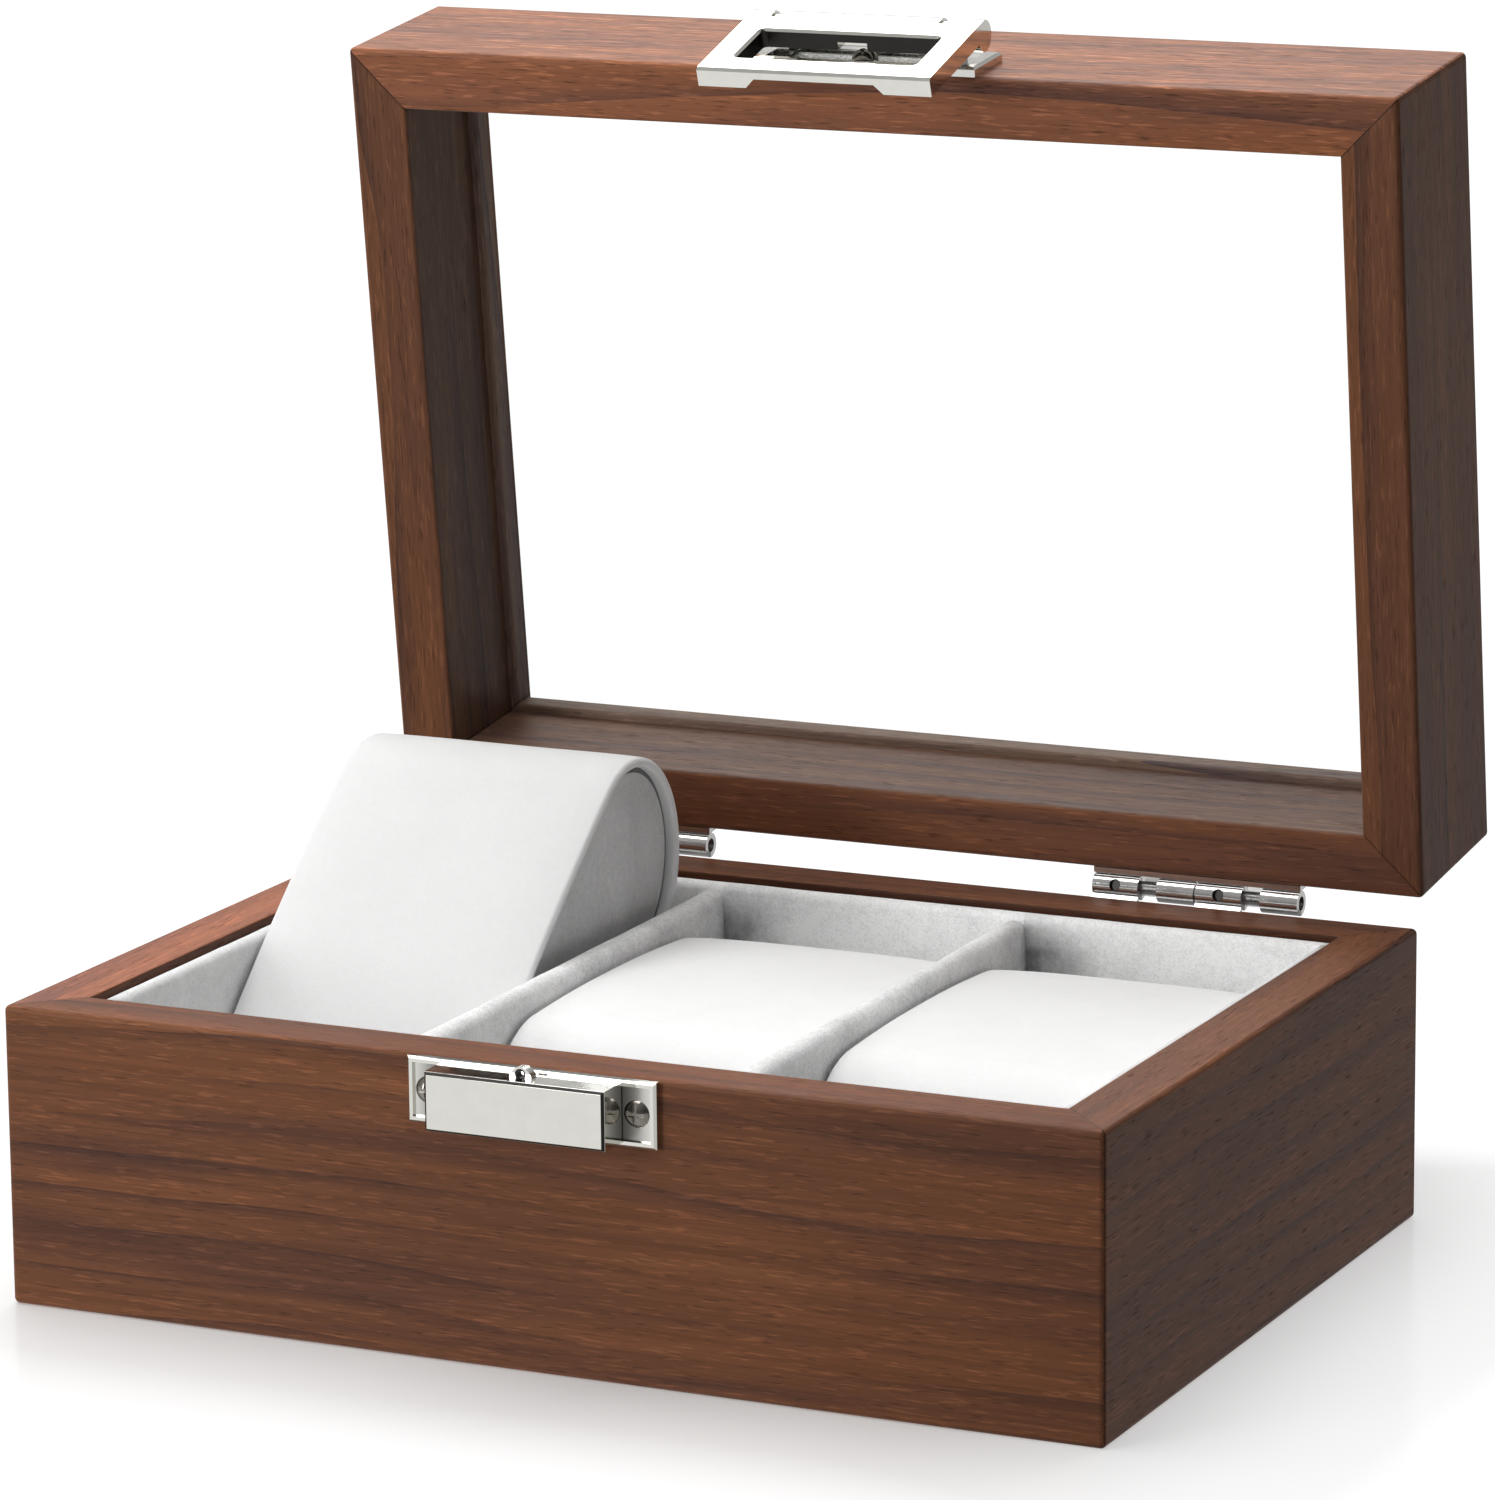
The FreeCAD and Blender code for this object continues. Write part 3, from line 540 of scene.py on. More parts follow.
def walnut(name, on_lid, sideways, seed, tone, rim_light, pore_glint_boost):
    """Satin walnut with its grain along the rail, in the board's tone, which is partly painted light and
    shade.
    """
    material, tree, shader = new_material(name, Specular_IOR_Level=0.12)
    place = closed_case_place(tree, on_lid)
    turn = (0.0, 0.0, -math.pi / 2 if sideways else 0.0)
    grain = add_node(tree, "Mapping", {"Vector": place, "Location": seed, "Rotation": turn}).outputs[0]
    seam = mitre_line(tree, place)
    looks = {"Vector": grain, "Mitre": seam, "Tone": (*tone, 1.0), "Pores_and_glints": pore_glint_boost}
    wood = place_group(tree, walnut_grain, looks)
    colour = wood["Color"]
    # Painted shade on the walls' inner faces, a painted grey sheen on the lid's
    painted_inner = lid_inner_painted_sheen if on_lid else inner_painted_shade
    colour = blend_colour(tree, inner_faces(tree, place), colour, painted_inner, "MULTIPLY")
    # On the lid's front rail: pores and stronger painted glints on its front face
    if pore_glint_boost > even_pore_and_glint:
        colour = front_pores_and_glints(tree, place, grain, colour)
    # Painted light on the walls' top edges
    if not on_lid:
        colour = blend_colour(tree, rim_faces(tree, place), colour, rim_light, "MULTIPLY")
    tree.links.new(colour, shader.inputs["Base Color"])
    tree.links.new(wood["Roughness"], shader.inputs["Roughness"])
    bump(tree, shader, wood["Height"], 0.35, wood_relief)
    return material


def velvet(name, paleness, brushed, shaded=None):
    """Short grey velvet, more or less brushed about, with painted shade where a mask says so."""
    material, tree, shader = new_material(
        name, Roughness=0.92, Sheen_Weight=0.35, Sheen_Roughness=0.45, Specular_IOR_Level=0.15
    )
    tint = (paleness, paleness, paleness, 1.0)
    nap = place_group(tree, velvet_nap, {"Vector": millimetres(tree), "Tint": tint, "Brushed": brushed})
    colour = nap["Color"]
    if shaded:
        colour = blend_colour(tree, shaded(tree), colour, divider_shadow_shade, "MULTIPLY")
    tree.links.new(colour, shader.inputs["Base Color"])
    bump(tree, shader, nap["Height"], 0.35, pile_relief)
    return material


def divider_shadows(tree):
    """Painted shadow on the back lining, to the right of each divider."""
    place = millimetres(tree)
    split = add_node(tree, "SeparateXYZ", {0: place})
    mask = None
    for node in ("divider_1", "divider_2"):
        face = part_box(node)[1].x / MM
        beyond = calc(tree, "SUBTRACT", split.outputs["X"], face)
        near = remap(tree, beyond, shadow_start / MM, shadow_reach / MM, 1.0, 0.0, smooth=True)
        near = calc(tree, "MULTIPLY", near, calc(tree, "GREATER_THAN", beyond, -shadow_start / MM / 2))
        mask = near if mask is None else calc(tree, "MAXIMUM", mask, near)
    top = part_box("lining_back")[1].z
    low = (top - shadow_drop) / MM
    high = (top - shadow_margin) / MM
    mask = calc(tree, "MULTIPLY", mask, remap(tree, split.outputs["Z"], low, high, 1.0, 0.15))
    uneven = remap(tree, cloud(tree, place, 0.16, 3.0, 0.6), 0.3, 0.6, 0.45, 1.0)
    return calc(tree, "MULTIPLY", mask, uneven)


def plating(name, polish, tint, recess=None):
    """Polished plating, with painted shade in the recesses, which are rougher too."""
    material, tree, shader = new_material(name, Metallic=1.0)
    inputs = {"Vector": millimetres(tree), "Polish": polish, "Tint": (*tint, 1.0)}
    marks = place_group(tree, plating_marks, inputs)
    colour = marks["Color"]
    rough = marks["Roughness"]
    # Painted shade where the mask marks a recess, which is made rougher too
    if recess:
        mask = recess(tree)
        colour = blend_colour(tree, mask, colour, recess_painted_shade)
        rough = calc(tree, "ADD", rough, calc(tree, "MULTIPLY", mask, recess_haze))
    tree.links.new(colour, shader.inputs["Base Color"])
    tree.links.new(rough, shader.inputs["Roughness"])
    bump(tree, shader, marks["Height"], 0.05, plating_relief)
    return material


def between(tree, value, low, high):
    """One where a length lies between two limits."""
    over = calc(tree, "GREATER_THAN", value, low / MM)
    return calc(tree, "MULTIPLY", over, calc(tree, "LESS_THAN", value, high / MM))


def window_walls(tree):
    """Painted shade on the cut walls of the hasp's window."""
    swing = opening_angle - hasp_droop
    shift = -(Matrix.Rotation(swing, 3, "X") @ hasp_pivot) / MM
    inputs = {"Vector": millimetres(tree), "Location": shift, "Rotation": (swing, 0.0, 0.0)}
    split = add_node(tree, "SeparateXYZ", {0: add_node(tree, "Mapping", inputs).outputs[0]})
    across = between(tree, split.outputs["X"], -window_half_width, window_half_width)
    return calc(tree, "MULTIPLY", across, between(tree, split.outputs["Z"], window_far, window_near))


def barrel_undersides(tree):
    """Painted shade on the front underside of the hinge tubes, over the rim, where the plating is also
    rougher.
    """
    split = add_node(tree, "SeparateXYZ", {0: millimetres(tree)})
    drop = calc(tree, "SUBTRACT", hinge_axis.z / MM, split.outputs["Z"])
    lead = calc(tree, "SUBTRACT", hinge_axis.y / MM, split.outputs["Y"])
    square = calc(tree, "ADD", calc(tree, "MULTIPLY", drop, drop), calc(tree, "MULTIPLY", lead, lead))
    tube = calc(tree, "LESS_THAN", square, ((barrel_radius + tube_skin) / MM) ** 2)
    front = calc(tree, "MULTIPLY", tube, calc(tree, "GREATER_THAN", lead, 0.0))
    return calc(tree, "MULTIPLY", front, remap(tree, drop, underside_shade_from / MM, underside_shade_to / MM, 0.0, underside_shade_share))


def pin_dimples(node):
    """A mask of painted shade in the two staking dimples of a base leaf and on its tubes' undersides."""
    low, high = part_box(node)
    repeat = (high.x - low.x) / 2
    middle = barrel_radius - dimple_sink
    way = Vector((0.0, math.cos(dimple_angle), math.sin(dimple_angle)))
    first = hinge_axis + way * middle
    first.x = low.x + base_knuckle / 2
    second = first + Vector((repeat, 0.0, 0.0))

    def mask(tree):
        place = millimetres(tree)
        away = []
        for spot in (first, second):
            inputs = {0: place, 1: spot / MM}
            away.append(add_node(tree, "VectorMath", inputs, operation="DISTANCE").outputs["Value"])
        dimples = calc(tree, "LESS_THAN", calc(tree, "MINIMUM", *away), dimple_reach / MM)
        return calc(tree, "MAXIMUM", dimples, barrel_undersides(tree))

    return mask


def keeper_recesses(tree):
    """Painted shade on the bevel round the block's face, apart from its lower edge, and in the pockets
    beside the block.
    """
    low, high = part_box("keeper")
    split = add_node(tree, "SeparateXYZ", {0: millimetres(tree)})
    face = between(tree, split.outputs["Y"], low.y + bevel_start, low.y + bevel_end)
    upper = calc(tree, "GREATER_THAN", split.outputs["Z"], (low.z + bevel_foot) / MM)
    bevel = calc(tree, "MULTIPLY", face, upper)
    sunk = calc(tree, "GREATER_THAN", split.outputs["Y"], (high.y - pocket_floor) / MM)
    across = calc(tree, "ABSOLUTE", split.outputs["X"])
    corner = remap(tree, across, block_half_width / MM, high.x / MM, pocket_shade, 0.0, smooth=True)
    return calc(tree, "MAXIMUM", bevel, calc(tree, "MULTIPLY", sunk, corner))


def nub_eye(tree):
    """Painted shade in and round the eye through the catch nub."""
    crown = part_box("catch_nub")[1].z
    flat = stretch(tree, millimetres(tree), (1.0, 0.0, 1.0))
    inputs = {0: flat, 1: Vector((0.0, 0.0, crown - eye_drop)) / MM}
    away = add_node(tree, "VectorMath", inputs, operation="DISTANCE").outputs["Value"]
    return calc(tree, "LESS_THAN", away, eye_reach / MM)


def pocket_casting(name):
    """The hasp plate: polished border, and a dark pocket left with its cast grain."""
    material, tree, shader = new_material(name, Metallic=1.0)
    place = closed_case_place(tree, True)
    inputs = {"Vector": place, "Polish": 0.1, "Tint": (*casting_tint, 1.0)}
    marks = place_group(tree, plating_marks, inputs)
    split = add_node(tree, "SeparateXYZ", {0: place})
    reach = calc(tree, "SUBTRACT", -half_depth / MM, split.outputs["Y"])
    sunk = calc(tree, "LESS_THAN", reach, pocket_rim / MM)
    within = calc(tree, "LESS_THAN", calc(tree, "ABSOLUTE", split.outputs["X"]), pocket_half_width / MM)
    pocket = calc(tree, "MULTIPLY", sunk, within)
    grit = cloud(tree, place, 1.9, 2.0, 0.7)
    cast = ramp(tree, grit, [(0.35, cast_dark), (0.6, cast_pale)])
    tree.links.new(blend_colour(tree, pocket, marks["Color"], cast), shader.inputs["Base Color"])
    rough = calc(tree, "ADD", marks["Roughness"], calc(tree, "MULTIPLY", pocket, recess_haze))
    tree.links.new(rough, shader.inputs["Roughness"])
    bump(tree, shader, calc(tree, "MULTIPLY", grit, pocket), 0.8, cast_relief)
    return material


def clear_glass(name):
    """Clear float glass with the faintest unevenness."""
    tint = (0.985, 0.995, 0.99, 1.0)
    material, tree, shader = new_material(name, Transmission_Weight=1.0, IOR=1.45, Base_Color=tint)
    film = cloud(tree, millimetres(tree), 0.03, 2.0)
    tree.links.new(remap(tree, film, 0.4, 0.9, 0.0, 0.015), shader.inputs["Roughness"])
    return material


def plain_panel(name):
    """The unstained underside of the bottom panel."""
    material, tree, shader = new_material(name, Specular_IOR_Level=0.25)
    wood = place_group(tree, walnut_grain, {"Vector": millimetres(tree)})
    tree.links.new(blend_colour(tree, 0.5, wood["Color"], panel_pale), shader.inputs["Base Color"])
    tree.links.new(wood["Roughness"], shader.inputs["Roughness"])
    return material


def dark_felt(name):
    """Matted dark felt."""
    material, tree, shader = new_material(name, Roughness=0.97, Sheen_Weight=0.3, Specular_IOR_Level=0.1)
    nap = place_group(tree, velvet_nap, {"Vector": millimetres(tree), "Tint": (*felt_tint, 1.0)})
    tree.links.new(nap["Color"], shader.inputs["Base Color"])
    bump(tree, shader, nap["Height"], 0.6, felt_relief)
    return material


# Copies of one grey velvet: the propped pillow's, the end panels' and the seams' are darker copies, painted
# shade; the back lining's is a paler copy, painted light, with painted shadow beside the dividers
lining_velvet = velvet("lining_velvet", 0.84, brushed=1.2)
divider_velvet = velvet("divider_velvet", 0.88, brushed=2.2)
seam_shade_velvet = velvet("seam_shade_velvet", 0.12, brushed=0.8)
pillow_velvet = velvet("pillow_velvet", 0.92, brushed=0.25)
propped_shaded_velvet = velvet("propped_shaded_velvet", 0.765, brushed=0.25)
back_velvet = velvet("back_velvet", 0.98, brushed=1.5, shaded=divider_shadows)
panel_shaded_velvet = velvet("panel_shaded_velvet", 0.63, brushed=1.6)
keeper_plating = plating("keeper_plating", bright_polish, bright_tint, keeper_recesses)
hasp_plating = plating("hasp_plating", bright_polish, bright_tint, window_walls)
nub_plating = plating("nub_plating", 0.09, bright_tint, nub_eye)
hinge_plating = plating("hinge_plating", hinge_polish, hinge_tint, barrel_undersides)
screw_plating = plating("screw_plating", 0.18, screw_tint)
pin_steel = plating("pin_steel", 0.30, pin_tint)
spring_steel = plating("spring_steel", 0.22, spring_tint)
hasp_casting = pocket_casting("hasp_casting")
pane_glass = clear_glass("pane_glass")
panel_wood = plain_panel("panel_wood")
sole_felt = dark_felt("sole_felt")


def dress(node, material):
    """Give a solid of the frame its finish."""
    slots = frame["nodes"][node].data.materials
    slots.clear()
    slots.append(material)


def dress_wood():
    """Each rail is a board of its own, so each has its own stretch of grain."""
    boards = [(f"base_{side}_wall", False, side) for side in ("front", "back", "left", "right")]
    boards += [(f"lid_{side}_rail", True, side) for side in ("front", "back", "left", "right")]
    boards += [(f"glass_bead_{side}", True, side) for side in ("front", "back", "left", "right")]
    for index, (node, on_lid, side) in enumerate(boards):
        seed = grain_step * index
        # The board's tone, partly its own and partly painted light and shade
        tone = board_and_light_tones.get(node, even_tone)
        # Painted light for the board's top edge, if it has any
        rim_light = rim_painted_light.get(node, even_tone)
        # How strongly pores and painted glints show on this board
        pore_glint_boost = pore_and_glint_boost.get(node, even_pore_and_glint)
        sideways = side in ("left", "right")
        dress(node, walnut(f"walnut_{node}", on_lid, sideways, seed, tone, rim_light, pore_glint_boost))
    dress("bottom_panel", panel_wood)


def dress_hardware():
    """Plating on the castings, hinges and screws."""
    finishes = {
        keeper_plating: ["keeper"],
        hasp_plating: ["hasp_frame"],
        nub_plating: ["catch_nub"],
        screw_plating: ["keeper_screws", "hasp_screw", "hinge_base_screws", "hinge_lid_screws"],
        pin_steel: ["hasp_pin", "hinge_pin_left", "hinge_pin_right"],
        hinge_plating: ["hinge_lid_leaf_left", "hinge_lid_leaf_right"],
        hasp_casting: ["hasp_plate"],
        pane_glass: ["lid_glass"],
    }
    for material, nodes in finishes.items():
        for node in nodes:
            dress(node, material)
    for node in ("hinge_base_leaf_left", "hinge_base_leaf_right"):
        dress(node, plating(f"plating_{node}", hinge_polish, hinge_tint, pin_dimples(node)))


# Soft pieces

def new_piece(name, points, faces, material, body, stands_for):
    """A mesh piece that rides on a body and stands for solids of the frame."""
    mesh = bpy.data.meshes.new(name)
    mesh.from_pydata(points, [], faces)
    mesh.validate()
    mesh.materials.append(material)
    for polygon in mesh.polygons:
        polygon.use_smooth = True
    piece = bpy.data.objects.new(name, mesh)
    bpy.context.scene.collection.objects.link(piece)
    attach(piece, body)
    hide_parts(*stands_for)
    return piece


def ring_faces(rings, count, closed_rings):
    """Quads between successive rings of points."""
    faces = []
    spans = rings if closed_rings else rings - 1
    for ring in range(spans):
        here = ring * count
        there = ((ring + 1) % rings) * count
        for step in range(count):
            after = (step + 1) % count
            faces.append((here + step, here + after, there + after, there + step))
    return faces


def board_section(thickness, height, roll):
    """Half-open outline of a covered board: up one face, over the rolled top and down the other."""
    rise = max(2, round((height - roll) / board_step))
    face = [(-thickness / 2, (height - roll) * step / rise) for step in range(rise)]
    arc = []
    for step in range(board_roll_steps + 1):
        angle = math.pi / 2 * step / board_roll_steps
        arc.append((-thickness / 2 + roll * (1 - math.cos(angle)), height - roll * (1 - math.sin(angle))))
    left = face + arc
    return left + [(-across, up) for across, up in reversed(left)]


def covered_board(name, node, roll, material, along_x):
    """A board wrapped in velvet: rolled top edges and a faint unevenness, inside its solid's space."""
    low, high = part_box(node)
    size = high - low
    centre = (low + high) / 2
    length = size.x if along_x else size.y
    section = board_section(size.y if along_x else size.x, size.z, roll)
    stations = max(2, round(length / board_step))
    points = []
    for station in range(stations + 1):
        run = length * (station / stations - 0.5)
        for across, up in section:
            spot = Vector((run, across, up)) / MM
            dent = velvet_ripple * (0.5 + 0.5 * noise.noise(spot * ripple_slow + centre * ripple_shift))
            dent += velvet_ripple * ripple_share * (0.5 + 0.5 * noise.noise(spot * ripple_quick))
            share_across = across / (size.y if along_x else size.x) * 2
            share_up = up / size.z
            across -= dent * share_across
            up -= dent * share_up
            place = (run, across) if along_x else (across, run)
            points.append((centre.x + place[0], centre.y + place[1], low.z + up))
    count = len(section)
    faces = ring_faces(stations + 1, count, False)
    faces.append(tuple(range(count)))
    faces.append(tuple(range(stations * count, (stations + 1) * count)))
    piece = new_piece(name, points, faces, material, "base", [node])
    tidy_normals(piece)
    return piece


def tidy_normals(piece):
    """Turn every face outwards."""
    shape = bmesh.new()
    shape.from_mesh(piece.data)
    bmesh.ops.recalc_face_normals(shape, faces=shape.faces)
    shape.to_mesh(piece.data)
    shape.free()


def line_compartments():
    """Lining boards, floor pad and dividers in pale velvet."""
    for side in ("front", "back", "left", "right"):
        node = f"lining_{side}"
        # The back lining's velvet is paler, painted light, with painted shadow beside the dividers
        cover = back_velvet if side == "back" else lining_velvet
        piece = covered_board(
            f"{node}_velvet", node, lining_roll, cover, side in ("front", "back")
        )
    for number in (1, 2):
        node = f"divider_{number}"
        piece = covered_board(f"{node}_velvet", node, divider_roll, divider_velvet, False)
    pad = covered_board("floor_pad_velvet", "floor_pad", pad_roll, lining_velvet, True)


def lay_felt():
    """The felt sheet under the bottom panel."""
    sheet = covered_board("bottom_felt_sheet", "bottom_felt", felt_roll, sole_felt, True)


def wind_spring():
    """The coil under the catch nub, wound at its resting length."""
    low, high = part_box("catch_spring")
    centre = (low + high) / 2
    radius = (high.x - low.x) / 2 - spring_wire
    rise = high.z - low.z - 2 * spring_wire
    climb = rise / (2 * math.pi * radius * spring_turns)
    stations = spring_turns * turn_steps
    points = []
    for station in range(stations + 1):
        share = station / stations
        turn = 2 * math.pi * spring_turns * share
        outward = Vector((math.cos(turn), math.sin(turn), 0.0))
        along = Vector((-math.sin(turn), math.cos(turn), climb)).normalized()
        upward = outward.cross(along)
        middle = Vector((centre.x, centre.y, low.z + spring_wire + rise * share)) + outward * radius
        for side in range(wire_sides):
            angle = 2 * math.pi * side / wire_sides
            points.append(middle + (outward * math.cos(angle) + upward * math.sin(angle)) * spring_wire)
    faces = ring_faces(stations + 1, wire_sides, False)
    faces.append(tuple(range(wire_sides)))
    faces.append(tuple(range(stations * wire_sides, (stations + 1) * wire_sides)))
    coil = new_piece("catch_spring_coil", points, faces, spring_steel, "base", ["catch_spring"])
    tidy_normals(coil)
    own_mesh(coil)


def pillow_arcs():
    """The pillow's side outline as arcs: centre, radius, first and last angle."""
    half = pillow_length / 2
    shoulder = pillow_height - pillow_crown
    flat = half - pillow_top_radius
    middle = shoulder - pillow_top_radius
    side = half - pillow_side_radius
    under = (side**2 + middle**2 - pillow_side_radius**2) / (2 * (middle - pillow_side_radius))
    meet = math.atan2(middle - under, side)
    over = (flat**2 + pillow_crown**2) / (2 * pillow_crown)
    spread = math.asin(flat / over)
    return [
        (0.0, pillow_height - over, over, math.pi / 2 + spread, math.pi / 2 - spread),
        (flat, middle, pillow_top_radius, math.pi / 2, 0.0),
        (side, middle, pillow_side_radius, 0.0, meet),
        (0.0, under, under, meet, -math.pi - meet),
        (-side, middle, pillow_side_radius, -math.pi - meet, -math.pi),
        (-flat, middle, pillow_top_radius, math.pi, math.pi / 2),
    ]


def pillow_outline(step):
    """Points round the pillow's side outline with their outward directions."""
    outline = []
    for centre_y, centre_z, radius, start, end in pillow_arcs():
        count = max(3, round(radius * abs(end - start) / step))
        for index in range(count):
            angle = start + (end - start) * index / count
            way = Vector((0.0, math.cos(angle), math.sin(angle)))
            outline.append((Vector((0.0, centre_y, centre_z)) + way * radius, way))
    return outline


def band_section(half):
    """The band across its width: inside edge, rolled lip, face, rolled lip and back inside."""
    inner = half - panel_recess - panel_dive
    lip = [(-inner, band_thickness)]
    for step in range(lip_steps + 1):
        angle = math.pi * (1 - step / lip_steps)
        lip.append((-half + band_roll * (1 - math.sin(angle)), band_roll * (1 - math.cos(angle))))
    reach = half - band_roll
    face = [(-reach + 2 * reach * step / face_steps, 0.0) for step in range(1, face_steps)]
    return lip + face + [(-across, inset) for across, inset in reversed(lip)]


def pillow_mesh(half):
    """A pillow lying at the origin: a velvet band with rolled lips, and two drawn-in end panels."""
    outline = pillow_outline(outline_step)
    section = band_section(half)
    points = []
    held = []
    for spot, way in outline:
        for across, inset in section:
            share = across / half
            soft = band_sag * share**sag_power
            if abs(across) > half - 2 * band_roll or inset > 0:
                held.append(len(points))
            rise = noise.noise((spot + Vector((across, 0, 0))) / MM * pillow_ripple)
            ripple = velvet_ripple * (0.5 + 0.5 * rise)
            place = spot - way * (inset + soft + ripple)
            points.append((across, place.y, place.z))
    faces = ring_faces(len(outline), len(section), True)
    band_faces = len(faces)
    seams = []
    for sign in (-1, 1):
        start = len(points)
        seams += range(len(faces), len(faces) + len(outline))
        more, quads = end_panel(outline, half, sign)
        held += range(start, start + len(outline) * panel_hem)
        points += more
        faces += [tuple(start + index for index in quad) for quad in quads]
    return points, faces, band_faces, seams, held


def end_panel(outline, half, sign):
    """A drawn-in end panel: a soft dome whose border dives under the band's lip."""
    inside = [spot - way * panel_tuck for spot, way in outline]
    points = []
    for ring in range(panel_rings):
        share = ring / panel_rings
        lift = panel_bulge * (1 - (1 - share) ** dome_power) - panel_dive * (1 - share) ** dive_power
        for spot in inside:
            core = Vector((0.0, spot.y * core_share, core_height))
            place = spot.lerp(core, share)
            points.append((sign * (half - panel_recess + lift), place.y, place.z))
    quads = ring_faces(panel_rings, len(inside), False)
    tip = min(range(len(inside)), key=lambda index: inside[index].y)
    count = len(inside)
    inner = [(panel_rings - 1) * count + (tip + index) % count for index in range(count)]
    return points, quads + ladder(inner)


def ladder(loop):
    """Faces across a narrow closed loop, from its first corner to the far end."""
    left = 1
    right = len(loop) - 1
    faces = [(loop[0], loop[left], loop[right])]
    while right - left > 1:
        corners = [left, left + 1, right - 1, right]
        faces.append(tuple(loop[index] for index in sorted(set(corners))))
        left += 1
        right -= 1
    return faces


def swell(piece, held):
    """Let the filling press a cover outwards between the lips that hold it."""
    group = piece.vertex_groups.new(name="lips")
    group.add(held, 1.0, "REPLACE")
    start = [vertex.co.copy() for vertex in piece.data.vertices]
    for vertex, spot in zip(piece.data.vertices, start):
        vertex.co = spot * swell_scale
    filling = piece.modifiers.new("filling", "CLOTH")
    filling.settings.vertex_group_mass = group.name
    filling.settings.use_pressure = True
    filling.settings.uniform_pressure_force = swell_pressure
    filling.settings.effector_weights.gravity = 0.0
    scene = bpy.context.scene
    for step in range(1, swell_frames + 1):
        scene.frame_set(step)
    shaped = piece.evaluated_get(bpy.context.evaluated_depsgraph_get())
    moves = []
    for vertex, moved, spot in zip(piece.data.vertices, shaped.data.vertices, start):
        move = moved.co / swell_scale - spot
        if move.length > swell_cap:
            move *= swell_cap / move.length
        moves.append(move)
    piece.modifiers.remove(filling)
    piece.vertex_groups.remove(group)
    scene.frame_set(1)
    for vertex, spot, move in zip(piece.data.vertices, start, moves):
        vertex.co = spot + move


def pillow_place(name):
    """Where a pillow's underside goes: its tilted outline fills the box of its solid."""
    low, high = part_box(f"pillow_{name}_band")
    turn = Matrix.Rotation(pillow_tilt[name], 3, "X")
    spots = [turn @ spot for spot, way in pillow_outline(fine_step)]
    lowest = min(spot.z for spot in spots)
    front = min(spot.y for spot in spots)
    shift = Vector(((low.x + high.x) / 2, low.y - front, low.z - lowest))
    return Matrix.Translation(shift) @ turn.to_4x4()


def stuff_pillows():
    """The three pillows, each its own piece."""
    for name in pillow_tilt:
        node = f"pillow_{name}"
        low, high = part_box(f"{node}_band")
        points, faces, band_faces, seams, held = pillow_mesh((high.x - low.x) / 2)
        place = pillow_place(name)
        points = [place @ Vector(point) for point in points]
        replaced = [f"{node}_band", f"{node}_foam", f"{node}_ends"]
        # The propped pillow's velvet, the end panels' and the seams' are darker copies: painted shade
        cover = propped_shaded_velvet if pillow_tilt[name] else pillow_velvet
        piece = new_piece(f"{node}_cover", points, faces, cover, node, replaced)
        piece.data.materials.append(panel_shaded_velvet)
        piece.data.materials.append(seam_shade_velvet)
        for polygon in piece.data.polygons[band_faces:]:
            polygon.material_index = 1
        for index in seams:
            piece.data.polygons[index].material_index = 2
        tidy_normals(piece)
        swell(piece, held)
        smooth = piece.modifiers.new("soft_edges", "SUBSURF")
        smooth.levels = 1
        smooth.render_levels = 1


# Stage

def set_camera():
    """The camera at the photograph's viewing angle."""
    data = bpy.data.cameras.new("camera")
    data.lens = camera_lens
    data.sensor_width = camera_sensor
    data.clip_start = camera_near
    data.clip_end = camera_far
    flat = math.cos(camera_rise)
    back = Vector((math.sin(camera_turn) * flat, -math.cos(camera_turn) * flat, math.sin(camera_rise)))
    right = Vector((math.cos(camera_turn), math.sin(camera_turn), 0.0))
    up = back.cross(right)
    rolled_right = right * math.cos(camera_roll) + up * math.sin(camera_roll)
    rolled_up = up * math.cos(camera_roll) - right * math.sin(camera_roll)
    camera = bpy.data.objects.new("camera", data)
    turn = Matrix((rolled_right, rolled_up, back)).transposed().to_4x4()
    camera.matrix_world = Matrix.Translation(camera_target + back * camera_distance) @ turn
    bpy.context.scene.collection.objects.link(camera)
    bpy.context.scene.camera = camera


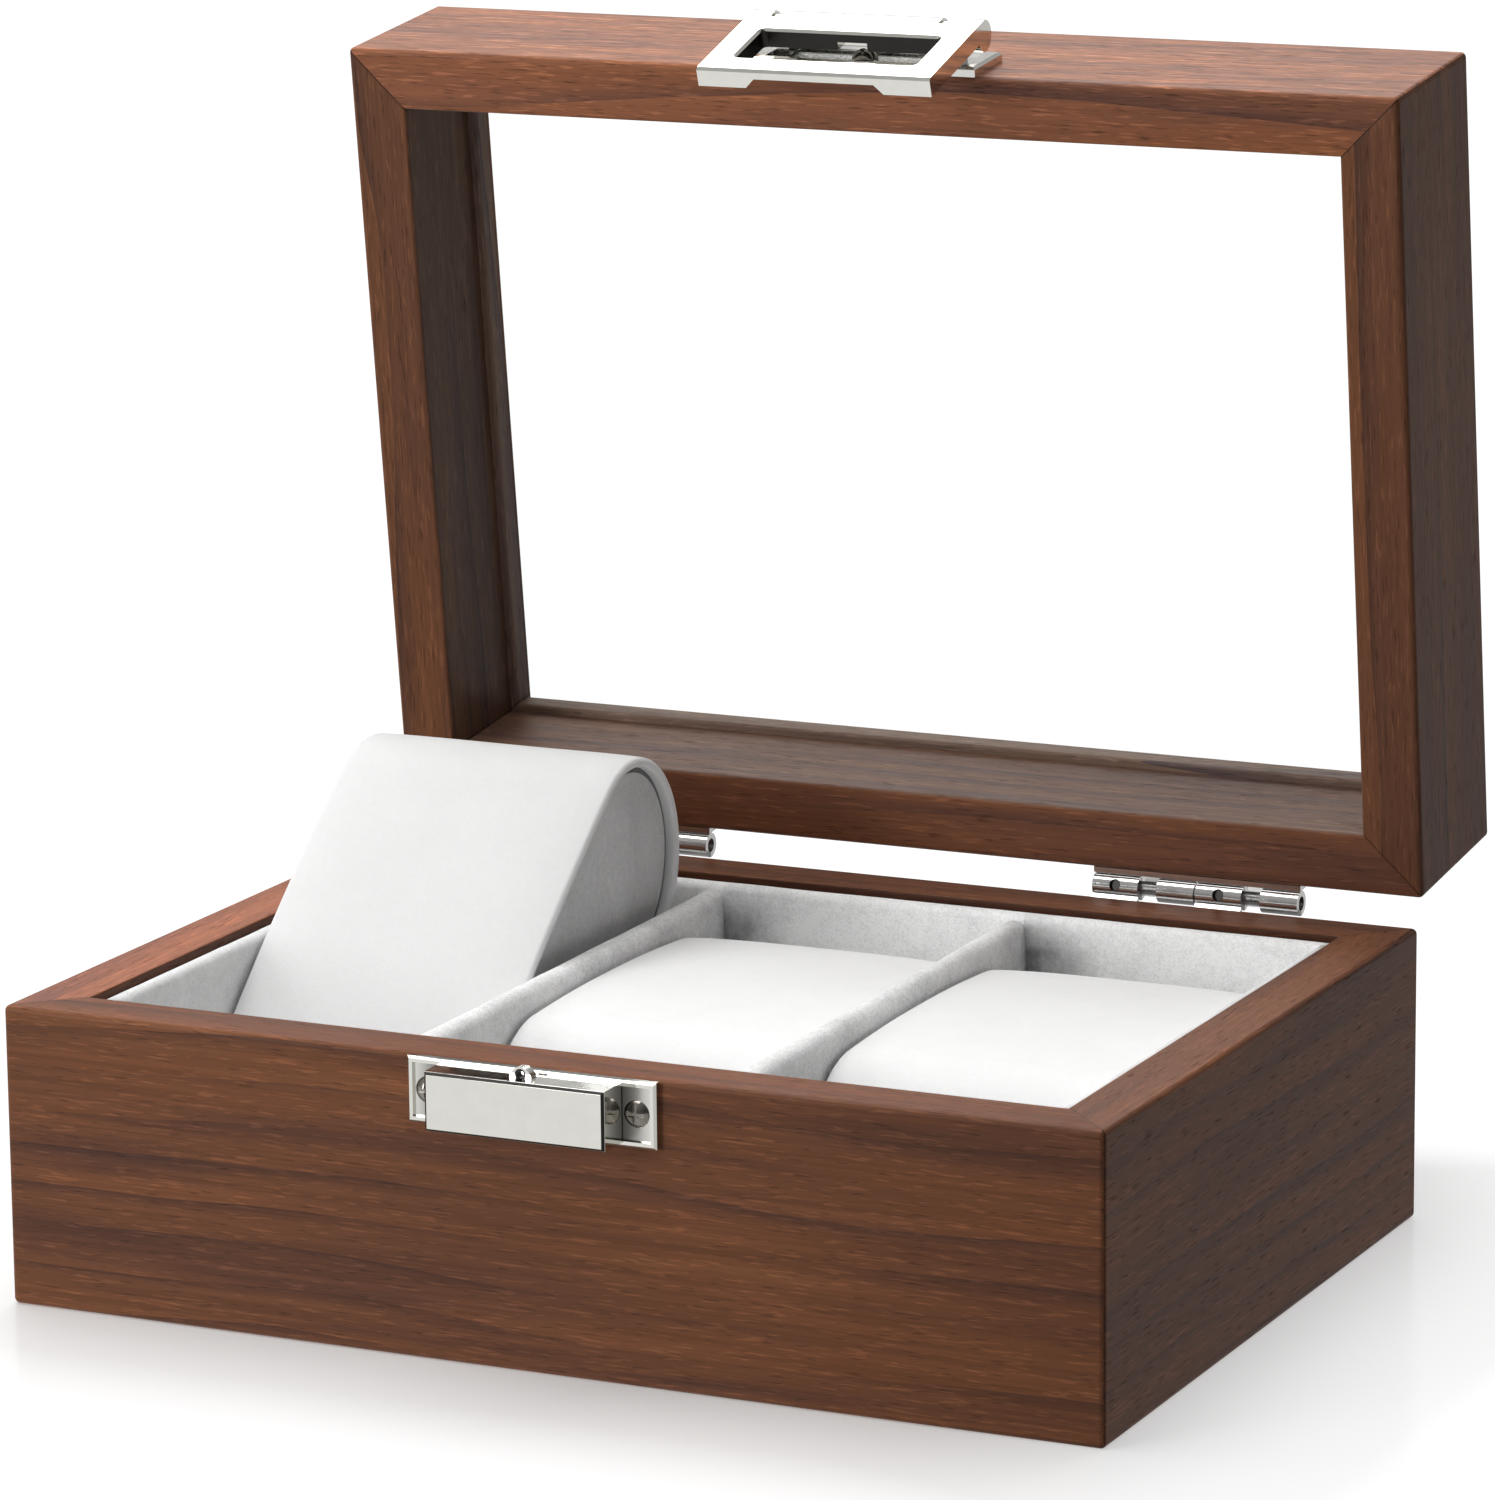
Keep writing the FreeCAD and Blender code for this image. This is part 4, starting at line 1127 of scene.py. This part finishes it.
def set_floor():
    """A pale floor that shades softly close to the box and fades into the white surround."""
    mesh = bpy.data.meshes.new("floor")
    corners = [(-floor_reach, -floor_reach, 0), (floor_reach, -floor_reach, 0)]
    corners += [(floor_reach, floor_reach, 0), (-floor_reach, floor_reach, 0)]
    mesh.from_pydata(corners, [], [(0, 1, 2, 3)])
    floor = bpy.data.objects.new("floor", mesh)
    floor.location.z = case_low.z - floor_drop
    bpy.context.scene.collection.objects.link(floor)
    material, tree, shader = new_material("pale_floor", Roughness=0.14, Specular_IOR_Level=0.7)
    shader.inputs["Base Color"].default_value = (0.95, 0.95, 0.95, 1.0)
    place = add_node(tree, "TexCoord").outputs["Object"]
    size = (half_width, half_depth, 0.0)
    spread = add_node(tree, "VectorMath", {0: place}, operation="ABSOLUTE").outputs[0]
    beyond = add_node(tree, "VectorMath", {0: spread, 1: size}, operation="SUBTRACT").outputs[0]
    beyond = add_node(tree, "VectorMath", {0: beyond, 1: (0.0, 0.0, 0.0)}, operation="MAXIMUM").outputs[0]
    away = add_node(tree, "VectorMath", {0: beyond}, operation="LENGTH").outputs["Value"]
    side = add_node(tree, "SeparateXYZ", {0: place}).outputs["X"]
    pale = remap(tree, side, pale_from, pale_to, pale_left, pale_right, smooth=True)
    fade = calc(tree, "MAXIMUM", remap(tree, away, 0.0, floor_fade, 0.0, 1.0, smooth=True), pale)
    glow = add_node(tree, "Emission", {"Strength": floor_white}).outputs[0]
    shown = add_node(tree, "MixShader", {0: fade, 1: shader.outputs[0], 2: glow}).outputs[0]
    bounce = remap(tree, side, bounce_from, bounce_to, bounce_left, bounce_right, smooth=True)
    gloss = add_node(tree, "LightPath").outputs["Is Glossy Ray"]
    lift = remap(tree, side, gloss_from, gloss_to, 0.0, gloss_lift, smooth=True)
    bounce = calc(tree, "ADD", bounce, calc(tree, "MULTIPLY", gloss, lift))
    thrown = add_node(tree, "Emission", {"Strength": bounce}).outputs[0]
    seen = seen_directly(tree)
    mix = add_node(tree, "MixShader", {0: seen, 1: thrown, 2: shown}).outputs[0]
    tree.links.new(mix, tree.nodes["Material Output"].inputs["Surface"])
    mesh.materials.append(material)


def seen_directly(tree):
    """One for what the eye sees, also through the pane; nought for light and reflections."""
    path = add_node(tree, "LightPath")
    bounces = calc(tree, "ADD", path.outputs["Diffuse Depth"], path.outputs["Glossy Depth"])
    straight = calc(tree, "LESS_THAN", bounces, 0.5)
    through_pane = calc(tree, "MULTIPLY", path.outputs["Is Transmission Ray"], straight)
    return calc(tree, "MAXIMUM", path.outputs["Is Camera Ray"], through_pane)


def set_surround():
    """White to the eye; to light and reflections a soft room, brighter above, behind and to the left."""
    world = bpy.data.worlds.new("surround")
    bpy.context.scene.world = world
    world.use_nodes = True
    tree = world.node_tree
    tree.nodes.clear()
    way = add_node(tree, "TexCoord").outputs["Generated"]
    split = add_node(tree, "SeparateXYZ", {0: way})
    height = remap(tree, split.outputs["Z"], -0.1, 0.8, 0.35, 1.0)
    side = remap(tree, split.outputs["X"], -0.6, 0.75, 1.0, 0.22)
    depth = remap(tree, split.outputs["Y"], -0.6, 0.8, 0.5, 1.0)
    strength = calc(tree, "MULTIPLY", calc(tree, "MULTIPLY", height, side), depth)
    room = add_node(tree, "Background", {"Color": (1.0, 0.99, 0.98, 1.0), "Strength": strength}).outputs[0]
    plain = {"Color": (1.0, 1.0, 1.0, 1.0), "Strength": surround_white}
    white = add_node(tree, "Background", plain).outputs[0]
    mix = add_node(tree, "MixShader", {0: seen_directly(tree), 1: room, 2: white}).outputs[0]
    add_node(tree, "OutputWorld", {"Surface": mix})


def set_light(name, place, aim, width, height, power):
    """A soft box aimed at a point."""
    data = bpy.data.lights.new(name, "AREA")
    data.shape = "RECTANGLE"
    data.size = width
    data.size_y = height
    data.energy = power
    light = bpy.data.objects.new(name, data)
    light.location = place
    light.rotation_euler = (Vector(aim) - Vector(place)).to_track_quat("-Z", "Y").to_euler()
    bpy.context.scene.collection.objects.link(light)


def set_lights():
    """An overhead box, a key before the left front corner, and one behind that skims the top of the lid."""
    over = (-0.14, 0.06, 0.72)
    set_light("overhead", place=over, aim=(-0.02, 0.0, 0.05), width=0.8, height=0.6, power=4.9)
    set_light("key", place=(-0.72, -1.0, 0.30), aim=(0.0, 0.0, 0.06), width=0.5, height=0.5, power=6.2)
    set_light("behind", place=(-0.45, 1.0, 0.95), aim=(0.0, 0.06, 0.2), width=0.9, height=0.5, power=4.0)


def set_tone():
    """Plain colours, as the camera saw them."""
    settings = bpy.context.scene.view_settings
    settings.view_transform = "Standard"
    settings.look = "None"
    settings.exposure = 0.0


dress_wood()
dress_hardware()
line_compartments()
lay_felt()
wind_spring()
stuff_pillows()
set_camera()
set_floor()
set_surround()
set_lights()
set_tone()
